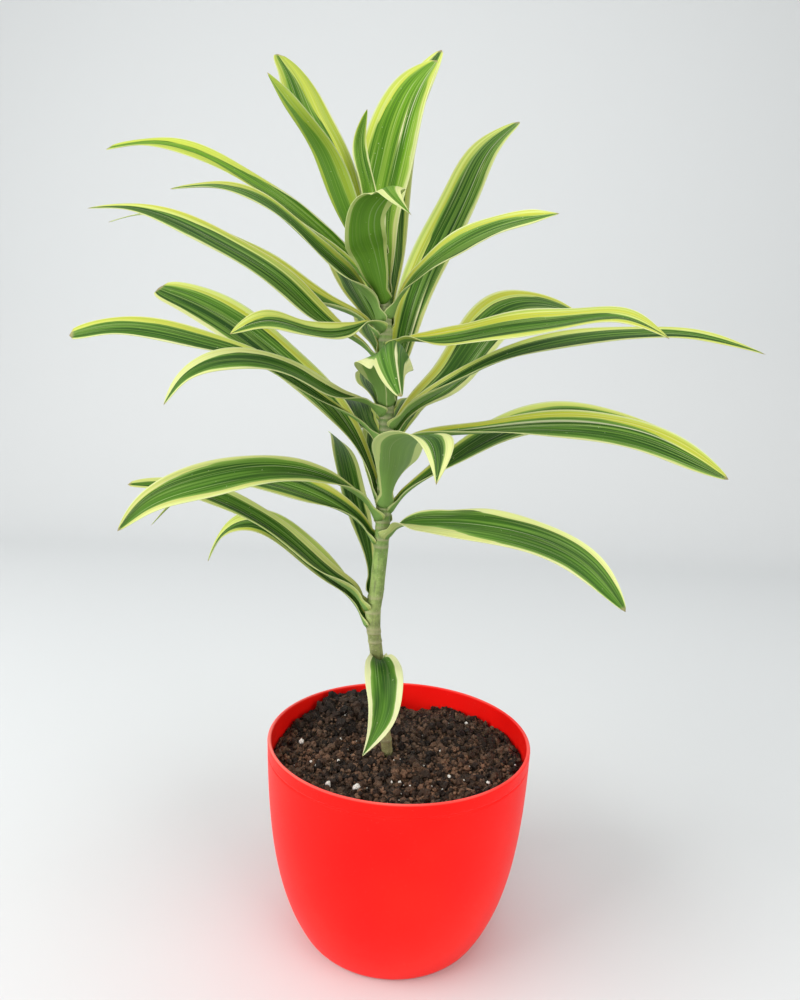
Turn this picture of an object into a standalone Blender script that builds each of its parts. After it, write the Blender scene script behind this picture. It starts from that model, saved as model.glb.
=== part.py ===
"""A potted song of india: a young Dracaena reflexa with striped leaves, in a round red plastic pot.

Metres, +Z up. The pot's axis is the Z axis and the pot stands on the plane z = 0. The plant's show
side looks towards -Y. All sizes below are in millimetres, and MM turns them into metres.
"""

import math

import bmesh
import bpy
import numpy as np

MM = 0.001
CLEARANCE = 0.35
LEAF_CLEARANCE = 0.6

# Pot: a thin moulded shell, 139 mm across the rim.
POT_HEIGHT = 105.6
POT_RIM_RADIUS = 69.5
POT_FOOT_RADIUS = 46.6
POT_FOOT_BEND = (48.2, 0.9)
POT_HEEL = (50.7, 4.1)
POT_WALL_HANDLES = ((63.7, 26.7), (68.4, 56.1))
POT_WALL = 2.0
POT_FLOOR = 2.4
POT_FLOOR_CORNER = 4.0
POT_GROOVE_BELOW_RIM = 6.0
POT_GROOVE_WIDTH = 1.2
POT_GROOVE_DEPTH = 0.3
POT_GROOVE_SLOPE = 0.3
POT_SIDES = 48
POT_WALL_LEVELS = (4.1, 14, 27, 43, 62, 82)
CAVITY_LEVELS = (76, 55, 32, 15, 6.4, 3.6)

# Soil: fills the pot to about a finger's width below the rim, heaped at the back left, with a dip
# behind the stem.
SOIL_LEVEL = 94.0
SOIL_HEAP_HEIGHT = 9.0
SOIL_HEAP_PLACE = (-30.0, 44.0)
SOIL_HEAP_SPREAD = 21.0
SOIL_DIP_DEPTH = 4.5
SOIL_DIP_PLACE = (9.0, 62.0)
SOIL_DIP_SPREAD = 13.0
SOIL_CRUMB = 0.7
SOIL_CRUMB_SPACINGS = (19.0, 13.0, 9.0)
SOIL_RINGS = 9
STEM_HOLE_LEVELS = (59.6, 78.0)
STEM_HOLE_RADIUS = 3.8

# Stem: the line of its centre in the plane y = 0 as (x, z), and its radius as (z, radius).
STEM_LINE = (
    (-5.0, 60),
    (-6.0, 95),
    (-9.5, 118),
    (-13.5, 148),
    (-16.0, 164),
    (-16.6, 173),
    (-15.0, 184),
    (-13.5, 205),
    (-13.0, 225),
    (-13.0, 252),
    (-13.5, 282),
    (-15.0, 307),
    (-16.5, 331),
    (-17.5, 345),
    (-18.0, 356),
)
STEM_RADII = (
    (60, 3.1),
    (95, 3.0),
    (118, 3.2),
    (145, 3.5),
    (160, 3.6),
    (172, 4.2),
    (190, 3.8),
    (260, 3.8),
    (315, 3.4),
    (345, 2.2),
    (356, 1.2),
)
STEM_SIDES = 12
STEM_BARE_RINGS = (76, 96, 112, 128)
SCAR_BELOW_LEAF = 2.0
SCAR_RAISE = 0.2

# Leaves: blades of one thickness, with rows of points about a row step apart along them.
LEAF_THICKNESS = 0.8
LEAF_ROW_STEP = 13.0
LEAF_LEAST_ROWS = 8
NECK_RUN = 6.0
LEAF_COLUMNS = 4
LEAF_WAVE = 0.6
LEAF_WAVES = 2.5
LEAF_OLD_COLOUR = (0.050, 0.150, 0.040)
LEAF_YOUNG_COLOUR = (0.170, 0.280, 0.050)
LEAF_YOUNG_LEVELS = (250.0, 350.0)


def leaf(level, heading, width, points, **shape):
    """One leaf: where it leaves the stem, which way round, its width and the points its midrib passes.

    level is the height on the stem and heading the compass angle from +X towards +Y, in degrees.
    roll turns the blade about its midrib at its base and its tip, in degrees, fold is how deeply it is
    guttered there, and taper says how early it widens and how late it narrows. crease is the gutter's
    power, 1 for a sharp fold and 2 for a round one, and settle is the share of the length by which the
    gutter has its depth at the tip. lift says how much more upright than its first point the blade
    leaves the stem, and neck is the width there as a share of the full width.
    """
    plain = dict(roll=(0, 0), fold=(0.3, 0.12), taper=(0.85, 0.95), crease=1.35, settle=0.7, neck=0.34,
                 lift=0.45)
    return dict(plain, level=level, heading=heading, width=width, points=points, **shape)


LEAVES = (
    leaf(147, 280, 19, ((-9, -24, 147), (-8, -31, 134), (-18, -36, 110)),
         roll=(8, -18), fold=(0.08, 0.21), taper=(0.62, 1.09)),
    leaf(165, 163, 19, ((-36, 6, 185), (-57, 13, 202), (-83, 20, 214), (-99, 25, 208), (-111, 29, 188)),
         roll=(10, 45)),
    leaf(174, 184, 18, ((-38, -1, 189), (-58, -3, 206), (-94, -5, 228), (-123, -7, 235), (-141, -9, 235)),
         roll=(10, 34), fold=(0.39, 0.25), taper=(0.35, 0.49)),
    leaf(182, 112, 18, ((-22, 20, 202), (-33, 50, 229), (-44, 90, 252), (-55, 122, 259)),
         roll=(0, -35), taper=(1.2, 0.95)),
    leaf(209, 155, 24, ((-36, 11, 224), (-71, 27, 234), (-112, 46, 233), (-156, 67, 200)), roll=(25, 25)),
    leaf(213, -38, 24, ((7, -25, 224), (31, -62, 230), (67, -90, 223), (80, -108, 209)),
         roll=(-29, -20), fold=(0.31, 0.1), taper=(0.7, 0.72)),
    leaf(219, 88, 24, ((-16, 25, 244), (-17, 60, 260), (-17, 100, 266), (-16, 135, 254))),
    leaf(222, 207, 21, ((-29, -8, 236), (-55, -21, 246), (-95, -42, 242), (-117, -53, 232), (-127, -58, 221)),
         roll=(12, 60), fold=(0.32, 0.11), taper=(0.99, 0.85)),
    leaf(226, 12, 26, ((13, 6, 246), (45, 12, 267), (77, 19, 276), (113, 27, 274), (169, 39, 255)),
         roll=(-26, -37), fold=(0.3, 0.13), taper=(1.09, 0.84)),
    leaf(229, 285, 24, ((-7, -33, 254), (-5, -54, 264), (8, -86, 267), (8, -107, 253)),
         roll=(2, -4), fold=(0.44, 0.13), taper=(0.92, 1.04), crease=1.74, lift=0.99, settle=0.81),
    leaf(232, 150, 27, ((-31, 10, 263), (-70, 33, 299), (-110, 56, 325), (-132, 69, 335), (-156, 83, 343)),
         roll=(24, 41), fold=(0.3, 0.12), taper=(0.86, 0.35)),
    leaf(239, 76, 19, ((-13, 22, 260), (-12, 55, 270), (-13, 95, 274), (-12, 128, 266))),
    leaf(251, 38, 18, ((-6, 20, 269), (0, 50, 280), (4, 80, 283), (6, 104, 277))),
    leaf(255, 120, 20, ((-25, 25, 267), (-32, 55, 277), (-38, 88, 281), (-44, 118, 279)), neck=0.3),
    leaf(257, -14, 24, ((15, -7, 266), (60, -18, 272), (108, -30, 269), (144, -39, 253)),
         roll=(-5, -53), fold=(0.44, 0.15), taper=(0.94, 0.74)),
    leaf(261, 187, 17, ((-40, -3, 278), (-74, -8, 298), (-105, -11, 307), (-144, -16, 311), (-164, -19, 306)),
         roll=(30, 39), fold=(0.26, 0.1), taper=(0.94, 0.3)),
    leaf(263, 48, 27, ((19, 36, 296), (43, 63, 329), (72, 95, 344), (119, 147, 343)),
         roll=(-52, -41), fold=(0.14, 0.07), taper=(0.78, 0.64)),
    leaf(269, -10, 17, ((12, -5, 287), (33, -8, 300), (70, -15, 313), (108, -21, 318), (125, -24, 318), (159, -30, 310)),
         roll=(-24, -35), fold=(0.46, 0.12), taper=(0.71, 0.88)),
    leaf(272, 128, 18, ((-21, 18, 286), (-24, 45, 293), (-27, 75, 298), (-30, 100, 296))),
    leaf(275, 208, 18, ((-33, -10, 282), (-56, -23, 293), (-86, -39, 297), (-102, -47, 288), (-109, -51, 276)),
         roll=(30, 37), fold=(0.33, 0.05), taper=(0.88, 0.95)),
    leaf(278, 64, 28, ((-8, 25, 304), (0, 45, 341), (24, 66, 401), (36, 76, 427), (56, 86, 447)),
         roll=(-7, -6), fold=(0.3, 0.12), taper=(0.81, 0.55)),
    leaf(280, 262, 24, ((-17, -27, 300), (-12, -44, 305), (-10, -61, 307), (-9, -89, 297), (-6, -102, 284)),
         roll=(-1, 5), fold=(0.35, -1.1), taper=(0.4, 0.7), crease=1.46, lift=0.42, settle=0.61),
    leaf(296, 108, 18, ((-21, 22, 312), (-27, 55, 327), (-31, 92, 335), (-31, 118, 333)), neck=0.3),
    leaf(300, 177, 19, ((-41, 1, 316), (-67, 3, 337), (-98, 4, 355), (-146, 7, 371), (-166, 8, 370)),
         roll=(38, 40), fold=(0.3, 0.12), taper=(0.82, 0.94), neck=0.3),
    leaf(304, 98, 20, ((-30, 27, 334), (-43, 60, 357), (-53, 95, 376), (-60, 120, 385)), neck=0.3),
    leaf(307, -28, 25, ((2, -9, 311), (38, -28, 316), (67, -43, 320), (86, -54, 321), (103, -63, 312)),
         roll=(-40, -29), fold=(0.29, 0.12), taper=(0.94, 1.01)),
    leaf(313, 150, 18, ((-48, 19, 330), (-83, 39, 352), (-122, 62, 372), (-162, 85, 386), (-194, 103, 384)),
         roll=(28, 29), fold=(0.32, 0.06), taper=(0.79, 1.08), neck=0.3),
    leaf(316, 222, 18, ((-27, -10, 317), (-51, -31, 312), (-65, -44, 314), (-79, -57, 307)),
         roll=(30, 35), fold=(0.35, 0.13), taper=(1.27, 0.96)),
    leaf(318, 70, 23, ((-14, 20, 349), (-16, 42, 394), (-9, 60, 444), (8, 74, 479)),
         taper=(0.85, 0.6), neck=0.28),
    leaf(321, 206, 21, ((-29, -6, 335), (-49, -16, 351), (-73, -28, 368), (-89, -36, 371), (-108, -45, 367)),
         roll=(41, 29), fold=(0.26, 0.16), taper=(0.66, 0.95), neck=0.32),
    leaf(323, -20, 22, ((-5, -4, 337), (13, -11, 353), (36, -19, 364), (61, -28, 368)),
         roll=(-47, -40), fold=(0.29, 0.08), taper=(1.19, 0.94)),
    leaf(328, 149, 17, ((-40, 14, 354), (-69, 32, 379), (-101, 51, 401), (-153, 82, 425), (-196, 108, 429)),
         roll=(2, 42), fold=(0.43, 0.14), taper=(0.35, 0.32), neck=0.3),
    leaf(330, 262, 20, ((-24, -17, 351), (-26, -29, 356), (-24, -36, 366), (-17, -42, 371), (-14, -58, 367), (-5, -68, 355)),
         roll=(-31, -9), fold=(0.04, -0.25), taper=(0.83, 1.23), crease=1.37, lift=0.01, settle=0.75),
    leaf(334, 74, 29, ((-22, 15, 369), (-20, 30, 401), (-13, 40, 434), (-4, 47, 453), (5, 52, 464)),
         roll=(-24, -6), fold=(0.09, 0.1), taper=(0.8, 0.6), neck=0.2),
    leaf(337, 212, 20, ((-35, -12, 366), (-47, -24, 392), (-56, -36, 402), (-68, -42, 416)),
         roll=(-2, 4), fold=(0.3, 0.16), taper=(0.64, 0.79), neck=0.25),
    leaf(343, 160, 27, ((-31, 4, 364), (-48, 20, 405), (-61, 33, 429), (-70, 42, 448), (-80, 48, 462)),
         roll=(9, 12), fold=(0.3, 0.06), taper=(0.87, 0.49), neck=0.2),
    leaf(353, 86, 9, ((-22, 6, 366), (-28, 13, 388), (-33, 22, 410), (-30, 28, 429)),
         taper=(0.85, 0.8), neck=0.35),
)


def natural_spline(points, where):
    """Reads a natural cubic spline, with its knots at their chord lengths, at shares of its run."""
    points = np.asarray(points, float)
    steps = np.linalg.norm(np.diff(points, axis=0), axis=1)
    knots = np.concatenate([[0.0], np.cumsum(steps)])
    count = len(points)
    system = np.eye(count)
    right = np.zeros_like(points)
    for i in range(1, count - 1):
        system[i, i - 1:i + 2] = steps[i - 1], 2 * (steps[i - 1] + steps[i]), steps[i]
        slope_after = (points[i + 1] - points[i]) / steps[i]
        slope_before = (points[i] - points[i - 1]) / steps[i - 1]
        right[i] = 6 * (slope_after - slope_before)
    bend = np.linalg.solve(system, right)
    run = np.asarray(where) * knots[-1]
    i = np.clip(np.searchsorted(knots, run, side="right") - 1, 0, count - 2)
    after = (run - knots[i])[:, None]
    span = steps[i][:, None]
    before = span - after
    cubic = (bend[i] * before**3 + bend[i + 1] * after**3) / (6 * span)
    start = (points[i] / span - bend[i] * span / 6) * before
    end = (points[i + 1] / span - bend[i + 1] * span / 6) * after
    return cubic + start + end


def even_run(points, where):
    """Places at shares of the spline's length, their unit tangents, and the length."""
    fine = np.linspace(0, 1, 241)
    track = natural_spline(points, fine)
    run = np.concatenate([[0.0], np.cumsum(np.linalg.norm(np.diff(track, axis=0), axis=1))])
    at = np.interp(np.asarray(where) * run[-1], run, fine)
    nudge = 0.001
    ahead = natural_spline(points, np.clip(at + nudge, 0, 1))
    behind = natural_spline(points, np.clip(at - nudge, 0, 1))
    tangents = ahead - behind
    tangents /= np.linalg.norm(tangents, axis=1)[:, None]
    return natural_spline(points, at), tangents, run[-1]


def ease(share):
    """0 below 0, 1 above 1, and a smooth step between."""
    share = np.clip(share, 0, 1)
    return share * share * (3 - 2 * share)


def stem_centre(level):
    return np.interp(level, [z for x, z in STEM_LINE], [x for x, z in STEM_LINE])


def stem_radius(level):
    return np.interp(level, [z for z, r in STEM_RADII], [r for z, r in STEM_RADII])


def blade_half_width(share, item):
    """Half the blade's width along its length: a leaf shape, over a neck that fades out."""
    early, late = item["taper"]
    top = (early / (early + late)) ** early * (late / (early + late)) ** late
    body = share**early * (1 - share) ** late / top
    neck = item["neck"] * (1 - share) ** 4
    return 0.5 * item["width"] * (body**4 + neck**4) ** 0.25


def heading_of(item):
    angle = math.radians(item["heading"])
    return np.array([math.cos(angle), math.sin(angle), 0.0])


def clasp_radius_of(item):
    """How far the middle of the blade's base stands from the middle of the stem."""
    return stem_radius(item["level"]) + LEAF_CLEARANCE + LEAF_THICKNESS / 2


def midrib(item):
    """The points the midrib passes: at the stem, a short way up and out, then the item's own."""
    heading = heading_of(item)
    start = np.array([stem_centre(item["level"]), 0.0, item["level"]]) + clasp_radius_of(item) * heading
    way = np.array(item["points"][0]) - start
    way = way / np.linalg.norm(way) + np.array([0.0, 0.0, item["lift"]])
    second = start + NECK_RUN * way / np.linalg.norm(way)
    return np.array([start, second, *item["points"]], float)


def blade_points(item, share, across):
    """The blade's middle surface as a grid of points, share along it and across it from -1 to 1.

    The midrib leaves the stem upright, then passes through the item's points. The blade is a gutter
    across it that flattens towards the tip, turns about the midrib by the roll, has a slight wave
    along both edges, and clasps the round stem at its base.
    """
    heading = heading_of(item)
    clasp_radius = clasp_radius_of(item)
    track = midrib(item)
    middle, tangent, length = even_run(track, share)
    run = track[-1] - track[0]
    run = np.array([run[0], run[1], 0.0]) / math.hypot(run[0], run[1])
    turn = ease(share / 0.3)[:, None]
    facing = (1 - turn) * heading + turn * run
    sideways = np.cross(facing, (0.0, 0.0, 1.0))
    sideways -= np.sum(sideways * tangent, axis=1)[:, None] * tangent
    sideways /= np.linalg.norm(sideways, axis=1)[:, None]
    upward = np.cross(sideways, tangent)
    first, last = item["roll"]
    roll = np.radians(first + (last - first) * share) * ease(share / 0.25)
    cos, sin = np.cos(roll)[:, None], np.sin(roll)[:, None]
    sideways, upward = sideways * cos + upward * sin, upward * cos - sideways * sin
    half = blade_half_width(share, item)[:, None]
    first, last = item["fold"]
    gutter = first + (last - first) * ease(share / item["settle"]) + 0.4 * (1 - ease(share / 0.3))
    gutter = gutter[:, None]
    flat = half * across * np.sqrt(1 - (0.6 * gutter * np.abs(across)) ** 2)
    edge_wave = LEAF_WAVE * np.sin(2 * math.pi * LEAF_WAVES * share)
    edge_wave = (edge_wave * ease(share / 0.2) * ease((1 - share) / 0.15))[:, None]
    ripple = edge_wave * np.abs(across) ** 3 * np.where(across < 0, 1.0, -0.8)
    clasp = (1 - ease(share / 0.08))[:, None]
    round_the_stem = np.clip(half * across, -0.94 * clasp_radius, 0.94 * clasp_radius)
    flat = (1 - clasp) * flat + clasp * round_the_stem
    curl = np.sqrt(clasp_radius**2 - np.minimum(flat**2, (0.95 * clasp_radius) ** 2))
    lift = (1 - clasp) * (half * gutter * np.abs(across) ** item["crease"] + ripple)
    lift += clasp * (clasp_radius - curl)
    return middle[:, None] + sideways[:, None] * flat[..., None] + upward[:, None] * lift[..., None]


def material(name, colour, roughness):
    made = bpy.data.materials.new(name)
    made.use_nodes = True
    shader = made.node_tree.nodes["Principled BSDF"]
    shader.inputs["Base Color"].default_value = (*colour, 1.0)
    shader.inputs["Roughness"].default_value = roughness
    shader.inputs["Metallic"].default_value = 0.0
    return made


def place(name, points, faces, finish, parent, at=(0.0, 0.0, 0.0)):
    """A smooth-shaded object of these faces, with its own origin at a point given in millimetres."""
    at = np.asarray(at, float)
    mesh = bpy.data.meshes.new(name)
    mesh.from_pydata(((np.asarray(points) - at) * MM).tolist(), [], faces)
    mesh.materials.append(finish)
    mesh.shade_smooth()
    mesh.set_sharp_from_angle(angle=math.radians(40))
    made = bpy.data.objects.new(name, mesh)
    made.location = at * MM
    made.parent = parent
    bpy.context.scene.collection.objects.link(made)
    return made


def rings_to_faces(rings, sides):
    """Triangles between rings of points, with one point closing the first ring and one the last.

    Points are numbered first pole, ring by ring, last pole. Rings run counter-clockwise seen from
    above, and going along them the outside of the solid is on the outer side of each ring.
    """
    faces = []
    last = 1 + rings * sides
    for side in range(sides):
        after = (side + 1) % sides
        faces.append((0, 1 + after, 1 + side))
        for ring in range(rings - 1):
            low = 1 + ring * sides
            high = low + sides
            faces.append((low + side, low + after, high + after))
            faces.append((low + side, high + after, high + side))
        top = 1 + (rings - 1) * sides
        faces.append((top + side, top + after, last))
    return faces


def circle(x, y, radius, z, sides):
    angles = 2 * math.pi * np.arange(sides) / sides
    return np.stack([x + radius * np.cos(angles), y + radius * np.sin(angles), z + 0 * angles], axis=1)


def wall_curve(steps):
    """The pot's outer wall from its heel to its rim, as (radius, height)."""
    t = np.linspace(0, 1, steps)[:, None]
    a, d = np.array(POT_HEEL), np.array((POT_RIM_RADIUS, POT_HEIGHT))
    b, c = np.array(POT_WALL_HANDLES[0]), np.array(POT_WALL_HANDLES[1])
    return (1 - t) ** 3 * a + 3 * (1 - t) ** 2 * t * b + 3 * (1 - t) * t**2 * c + t**3 * d


def wall_radius(z):
    curve = wall_curve(60)
    return np.interp(z, curve[:, 1], curve[:, 0])


def cavity_radius(z):
    """The pot's inner radius, rounded into its floor."""
    corner = POT_FLOOR_CORNER
    below = np.clip(POT_FLOOR + corner - np.asarray(z, float), 0, corner)
    return wall_radius(z) - POT_WALL - (corner - np.sqrt(corner**2 - below**2))


def make_pot(parent):
    """A turned shell: flat foot, rounded heel, flared wall with a shallow groove, round lip, floor."""
    groove_low = POT_HEIGHT - POT_GROOVE_BELOW_RIM - POT_GROOVE_WIDTH
    groove_high = POT_HEIGHT - POT_GROOVE_BELOW_RIM
    slope = POT_GROOVE_SLOPE
    outline = [(POT_FOOT_RADIUS, 0.0), POT_FOOT_BEND]
    outline += [(wall_radius(z), z) for z in POT_WALL_LEVELS]
    outline += [(wall_radius(groove_low), groove_low)]
    outline += [(wall_radius(groove_low) - POT_GROOVE_DEPTH, groove_low + slope)]
    outline += [(wall_radius(groove_high) - POT_GROOVE_DEPTH, groove_high - slope)]
    outline += [(wall_radius(groove_high), groove_high)]
    lip = POT_WALL / 2
    for degrees in (0, 45, 90, 135, 180):
        turned = math.radians(degrees)
        across = POT_RIM_RADIUS - lip + lip * math.cos(turned)
        outline.append((across, POT_HEIGHT - lip + lip * math.sin(turned)))
    outline += [(cavity_radius(z), z) for z in (SOIL_LEVEL, *CAVITY_LEVELS)]
    outline.append((cavity_radius(POT_FLOOR) + 0.6, POT_FLOOR))
    rings = [circle(0, 0, radius, z, POT_SIDES) for radius, z in outline]
    points = np.concatenate([[(0, 0, 0)], *rings, [(0, 0, POT_FLOOR)]])
    faces = rings_to_faces(len(rings), POT_SIDES)
    return place("pot", points, faces, material("red plastic", (0.80, 0.012, 0.010), 0.28), parent)


def soil_height(x, y):
    """The soil's top: a level bed, a heap at the back left, a dip, and crumbs a millimetre high."""
    from_heap = ((x - SOIL_HEAP_PLACE[0]) ** 2 + (y - SOIL_HEAP_PLACE[1]) ** 2) / SOIL_HEAP_SPREAD**2
    heap = SOIL_HEAP_HEIGHT * np.exp(-from_heap)
    from_dip = ((x - SOIL_DIP_PLACE[0]) ** 2 + (y - SOIL_DIP_PLACE[1]) ** 2) / SOIL_DIP_SPREAD**2
    heap -= SOIL_DIP_DEPTH * np.exp(-from_dip)
    draw = np.random.default_rng(7)
    crumbs = np.zeros_like(x)
    for spacing in SOIL_CRUMB_SPACINGS:
        for bearing in draw.uniform(0, 2 * math.pi, 3):
            along = x * math.cos(bearing) + y * math.sin(bearing)
            crumbs += np.cos(2 * math.pi * along / spacing + draw.uniform(0, 2 * math.pi))
    return SOIL_LEVEL + heap + SOIL_CRUMB * crumbs / 3


def make_soil(parent):
    """One body from the hole's floor up the hole, out over the crumbs, down the wall, and under."""
    rings = [circle(stem_centre(z), 0, STEM_HOLE_RADIUS, z, POT_SIDES) for z in STEM_HOLE_LEVELS]
    mouth = circle(stem_centre(SOIL_LEVEL), 0, STEM_HOLE_RADIUS, 0, POT_SIDES)
    edge = circle(0, 0, cavity_radius(SOIL_LEVEL - SOIL_DIP_DEPTH) - CLEARANCE, 0, POT_SIDES)
    for share in np.linspace(0, 1, SOIL_RINGS) ** 0.8:
        ring = (1 - share) * mouth + share * edge
        ring[:, 2] = soil_height(ring[:, 0], ring[:, 1])
        rings.append(ring)
    floor = POT_FLOOR + CLEARANCE
    for z in CAVITY_LEVELS:
        in_corner = z < POT_FLOOR + POT_FLOOR_CORNER / 2
        lifted = z + CLEARANCE if in_corner else z
        rings.append(circle(0, 0, cavity_radius(z) - CLEARANCE, lifted, POT_SIDES))
    rings.append(circle(0, 0, cavity_radius(POT_FLOOR) - CLEARANCE, floor, POT_SIDES))
    hole_floor = STEM_HOLE_LEVELS[0]
    points = np.concatenate([[(stem_centre(hole_floor), 0, hole_floor)], *rings, [(0, 0, floor)]])
    faces = [face[::-1] for face in rings_to_faces(len(rings), POT_SIDES)]
    return place("soil", points, faces, material("soil", (0.035, 0.022, 0.016), 0.95), parent)


def make_stem(parent):
    """A cane along its line, with a raised leaf scar under each leaf and a shallow dip between."""
    scars = sorted(item["level"] - SCAR_BELOW_LEAF for item in LEAVES)
    levels = [(z, 0.0) for z in (60, *STEM_BARE_RINGS)]
    for scar, following in zip(scars, scars[1:] + [scars[-1] + 8]):
        levels.append((scar, SCAR_RAISE))
        if following - scar > 2.5:
            levels.append(((scar + following) / 2, 0.0))
    levels.append((STEM_LINE[-1][1], 0.0))
    levels = [row for row, after in zip(levels, levels[1:] + [(1e9, 0)]) if after[0] - row[0] > 0.9]
    rings = [circle(stem_centre(z), 0, stem_radius(z) + raised, z, STEM_SIDES) for z, raised in levels]
    top = STEM_LINE[-1][1] + 1.0
    bottom = STEM_LINE[0][1]
    points = [[(stem_centre(bottom), 0, bottom)], *rings, [(stem_centre(top), 0, top)]]
    faces = rings_to_faces(len(rings), STEM_SIDES)
    return place("stem", np.concatenate(points), faces, material("cane", (0.22, 0.24, 0.10), 0.6), parent)


def make_leaf(number, item, parent):
    """The blade's middle surface in triangles, thickened alike on both sides."""
    length = even_run(midrib(item), np.array([0.0, 1.0]))[2]
    rows = max(LEAF_LEAST_ROWS, round(length / LEAF_ROW_STEP))
    share = (np.arange(rows) / rows) ** 1.15
    across = np.linspace(-1, 1, LEAF_COLUMNS + 1)
    grid = blade_points(item, share, across)
    tip = blade_points(item, np.array([0.0, 1.0]), across)[-1, LEAF_COLUMNS // 2]
    width = LEAF_COLUMNS + 1
    faces = []
    for row in range(rows - 1):
        for column in range(LEAF_COLUMNS):
            corner = row * width + column
            faces.append((corner, corner + width, corner + width + 1))
            faces.append((corner, corner + width + 1, corner + 1))
    for column in range(LEAF_COLUMNS):
        corner = (rows - 1) * width + column
        faces.append((corner, rows * width, corner + 1))
    faces = [face[::-1] for face in faces]
    points = np.concatenate([grid.reshape(-1, 3), [tip]])
    oldest, youngest = LEAF_YOUNG_LEVELS
    age = ease((item["level"] - oldest) / (youngest - oldest))
    colour = (1 - age) * np.array(LEAF_OLD_COLOUR) + age * np.array(LEAF_YOUNG_COLOUR)
    name = f"leaf_{number:02d}"
    made = place(name, points, faces, material(f"blade {number:02d}", colour, 0.42), parent, grid[0, 2])
    thicken = made.modifiers.new("thickness", "SOLIDIFY")
    thicken.thickness = LEAF_THICKNESS * MM
    thicken.offset = 0.0
    return made


def main():
    for old in list(bpy.data.objects):
        bpy.data.objects.remove(old, do_unlink=True)
    plant = bpy.data.objects.new("song_of_india", None)
    bpy.context.scene.collection.objects.link(plant)
    make_pot(plant)
    make_soil(plant)
    make_stem(plant)
    for number, item in enumerate(LEAVES, start=1):
        make_leaf(number, item, plant)


main()
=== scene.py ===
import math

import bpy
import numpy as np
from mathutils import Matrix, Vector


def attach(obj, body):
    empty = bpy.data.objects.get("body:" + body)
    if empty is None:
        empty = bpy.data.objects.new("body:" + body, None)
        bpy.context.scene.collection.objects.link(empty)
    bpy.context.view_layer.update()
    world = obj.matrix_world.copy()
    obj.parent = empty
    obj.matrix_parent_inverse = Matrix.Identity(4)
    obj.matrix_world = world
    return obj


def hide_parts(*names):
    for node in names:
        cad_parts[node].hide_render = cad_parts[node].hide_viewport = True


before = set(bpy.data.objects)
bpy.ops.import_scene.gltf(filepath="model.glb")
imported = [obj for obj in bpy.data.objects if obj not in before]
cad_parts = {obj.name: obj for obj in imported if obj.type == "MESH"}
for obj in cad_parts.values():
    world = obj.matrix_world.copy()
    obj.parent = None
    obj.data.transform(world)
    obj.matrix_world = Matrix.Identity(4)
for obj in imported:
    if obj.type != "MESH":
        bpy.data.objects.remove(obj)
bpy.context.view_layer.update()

# %% [markdown]
# # A potted song of india
#
# This lesson dresses a young song of india, a houseplant with long striped leaves on one thin cane,
# standing in dark soil in a glossy red pot. The imported solids that were just loaded give every place
# and size. Each is replaced here by a finer surface of the same form: thin waved blades, a scarred
# cane, loose crumbly soil and a smooth moulded pot. Nothing is resized.

MM = 0.001

# %% [markdown]
# ## The camera
#
# A real photograph fixes the viewpoint, so the camera is set by given facts: how far in front of
# the pot's axis it stood, how high, how far it looked down and how much it leant to one side. A focal
# length in pixels becomes a lens in millimetres once it is divided by the long side of the picture.
# Building the matrix from three axes keeps the lean separate from the pitch, which Euler angles mix.

# %% Camera
PICTURE_HEIGHT = 1000
FOCAL_PIXELS = 722
CAMERA_PLACE = (-0.0048, -0.366, 0.2839)
CAMERA_PITCH = math.radians(8.11)
CAMERA_LEAN = math.radians(2.43)
SENSOR = 36.0


def camera_matrix(place, pitch, lean):
    """Looks along +Y turned down by pitch. Right and up are then turned by lean about that line."""
    forward = Vector((0, math.cos(pitch), -math.sin(pitch)))
    level, raised = Vector((1, 0, 0)), Vector((0, math.sin(pitch), math.cos(pitch)))
    right = level * math.cos(lean) + raised * math.sin(lean)
    up = raised * math.cos(lean) - level * math.sin(lean)
    turned = Matrix((right, up, -forward)).transposed().to_4x4()
    return Matrix.Translation(place) @ turned


camera = bpy.data.objects.new("camera", bpy.data.cameras.new("camera"))
bpy.context.scene.collection.objects.link(camera)
camera.matrix_world = camera_matrix(CAMERA_PLACE, CAMERA_PITCH, CAMERA_LEAN)
camera.data.sensor_width = SENSOR
camera.data.lens = SENSOR * FOCAL_PIXELS / PICTURE_HEIGHT
camera.data.clip_start = 0.01
bpy.context.scene.camera = camera
print("lens", round(camera.data.lens, 2), "mm")

# %% [markdown]
# ## Putting a surface into a mesh
#
# Almost every piece here is a stack of closed rings: a stem's cross-sections, a pot's circles, a
# leaf's upper and lower face joined at both edges. So one helper turns an array of rings, shaped
# (rings, points, 3), into a mesh. The first and last ring are closed with a pole, a single point,
# so that no piece is left open. Whole index arrays are made at once, which is much faster than
# adding faces one by one.

# %% Rings to a closed mesh


def ring_faces(rings, around):
    """Two triangles between each pair of neighbours on two neighbouring rings, and a fan at each end.

    Point 0 is the first pole, ring r has points 1 + r * around onwards, and the last pole is the end.
    """
    column = np.arange(around)
    after = (column + 1) % around
    low = 1 + np.arange(rings - 1)[:, None] * around
    high = low + around
    first = np.stack([low + column, low + after, high + after], axis=-1).reshape(-1, 3)
    second = np.stack([low + column, high + after, high + column], axis=-1).reshape(-1, 3)
    start = np.stack([0 * column, 1 + after, 1 + column], axis=-1)
    top = 1 + (rings - 1) * around
    end = np.stack([top + column, top + after, 0 * column + 1 + rings * around], axis=-1)
    return np.concatenate([first, second, start, end])


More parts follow.
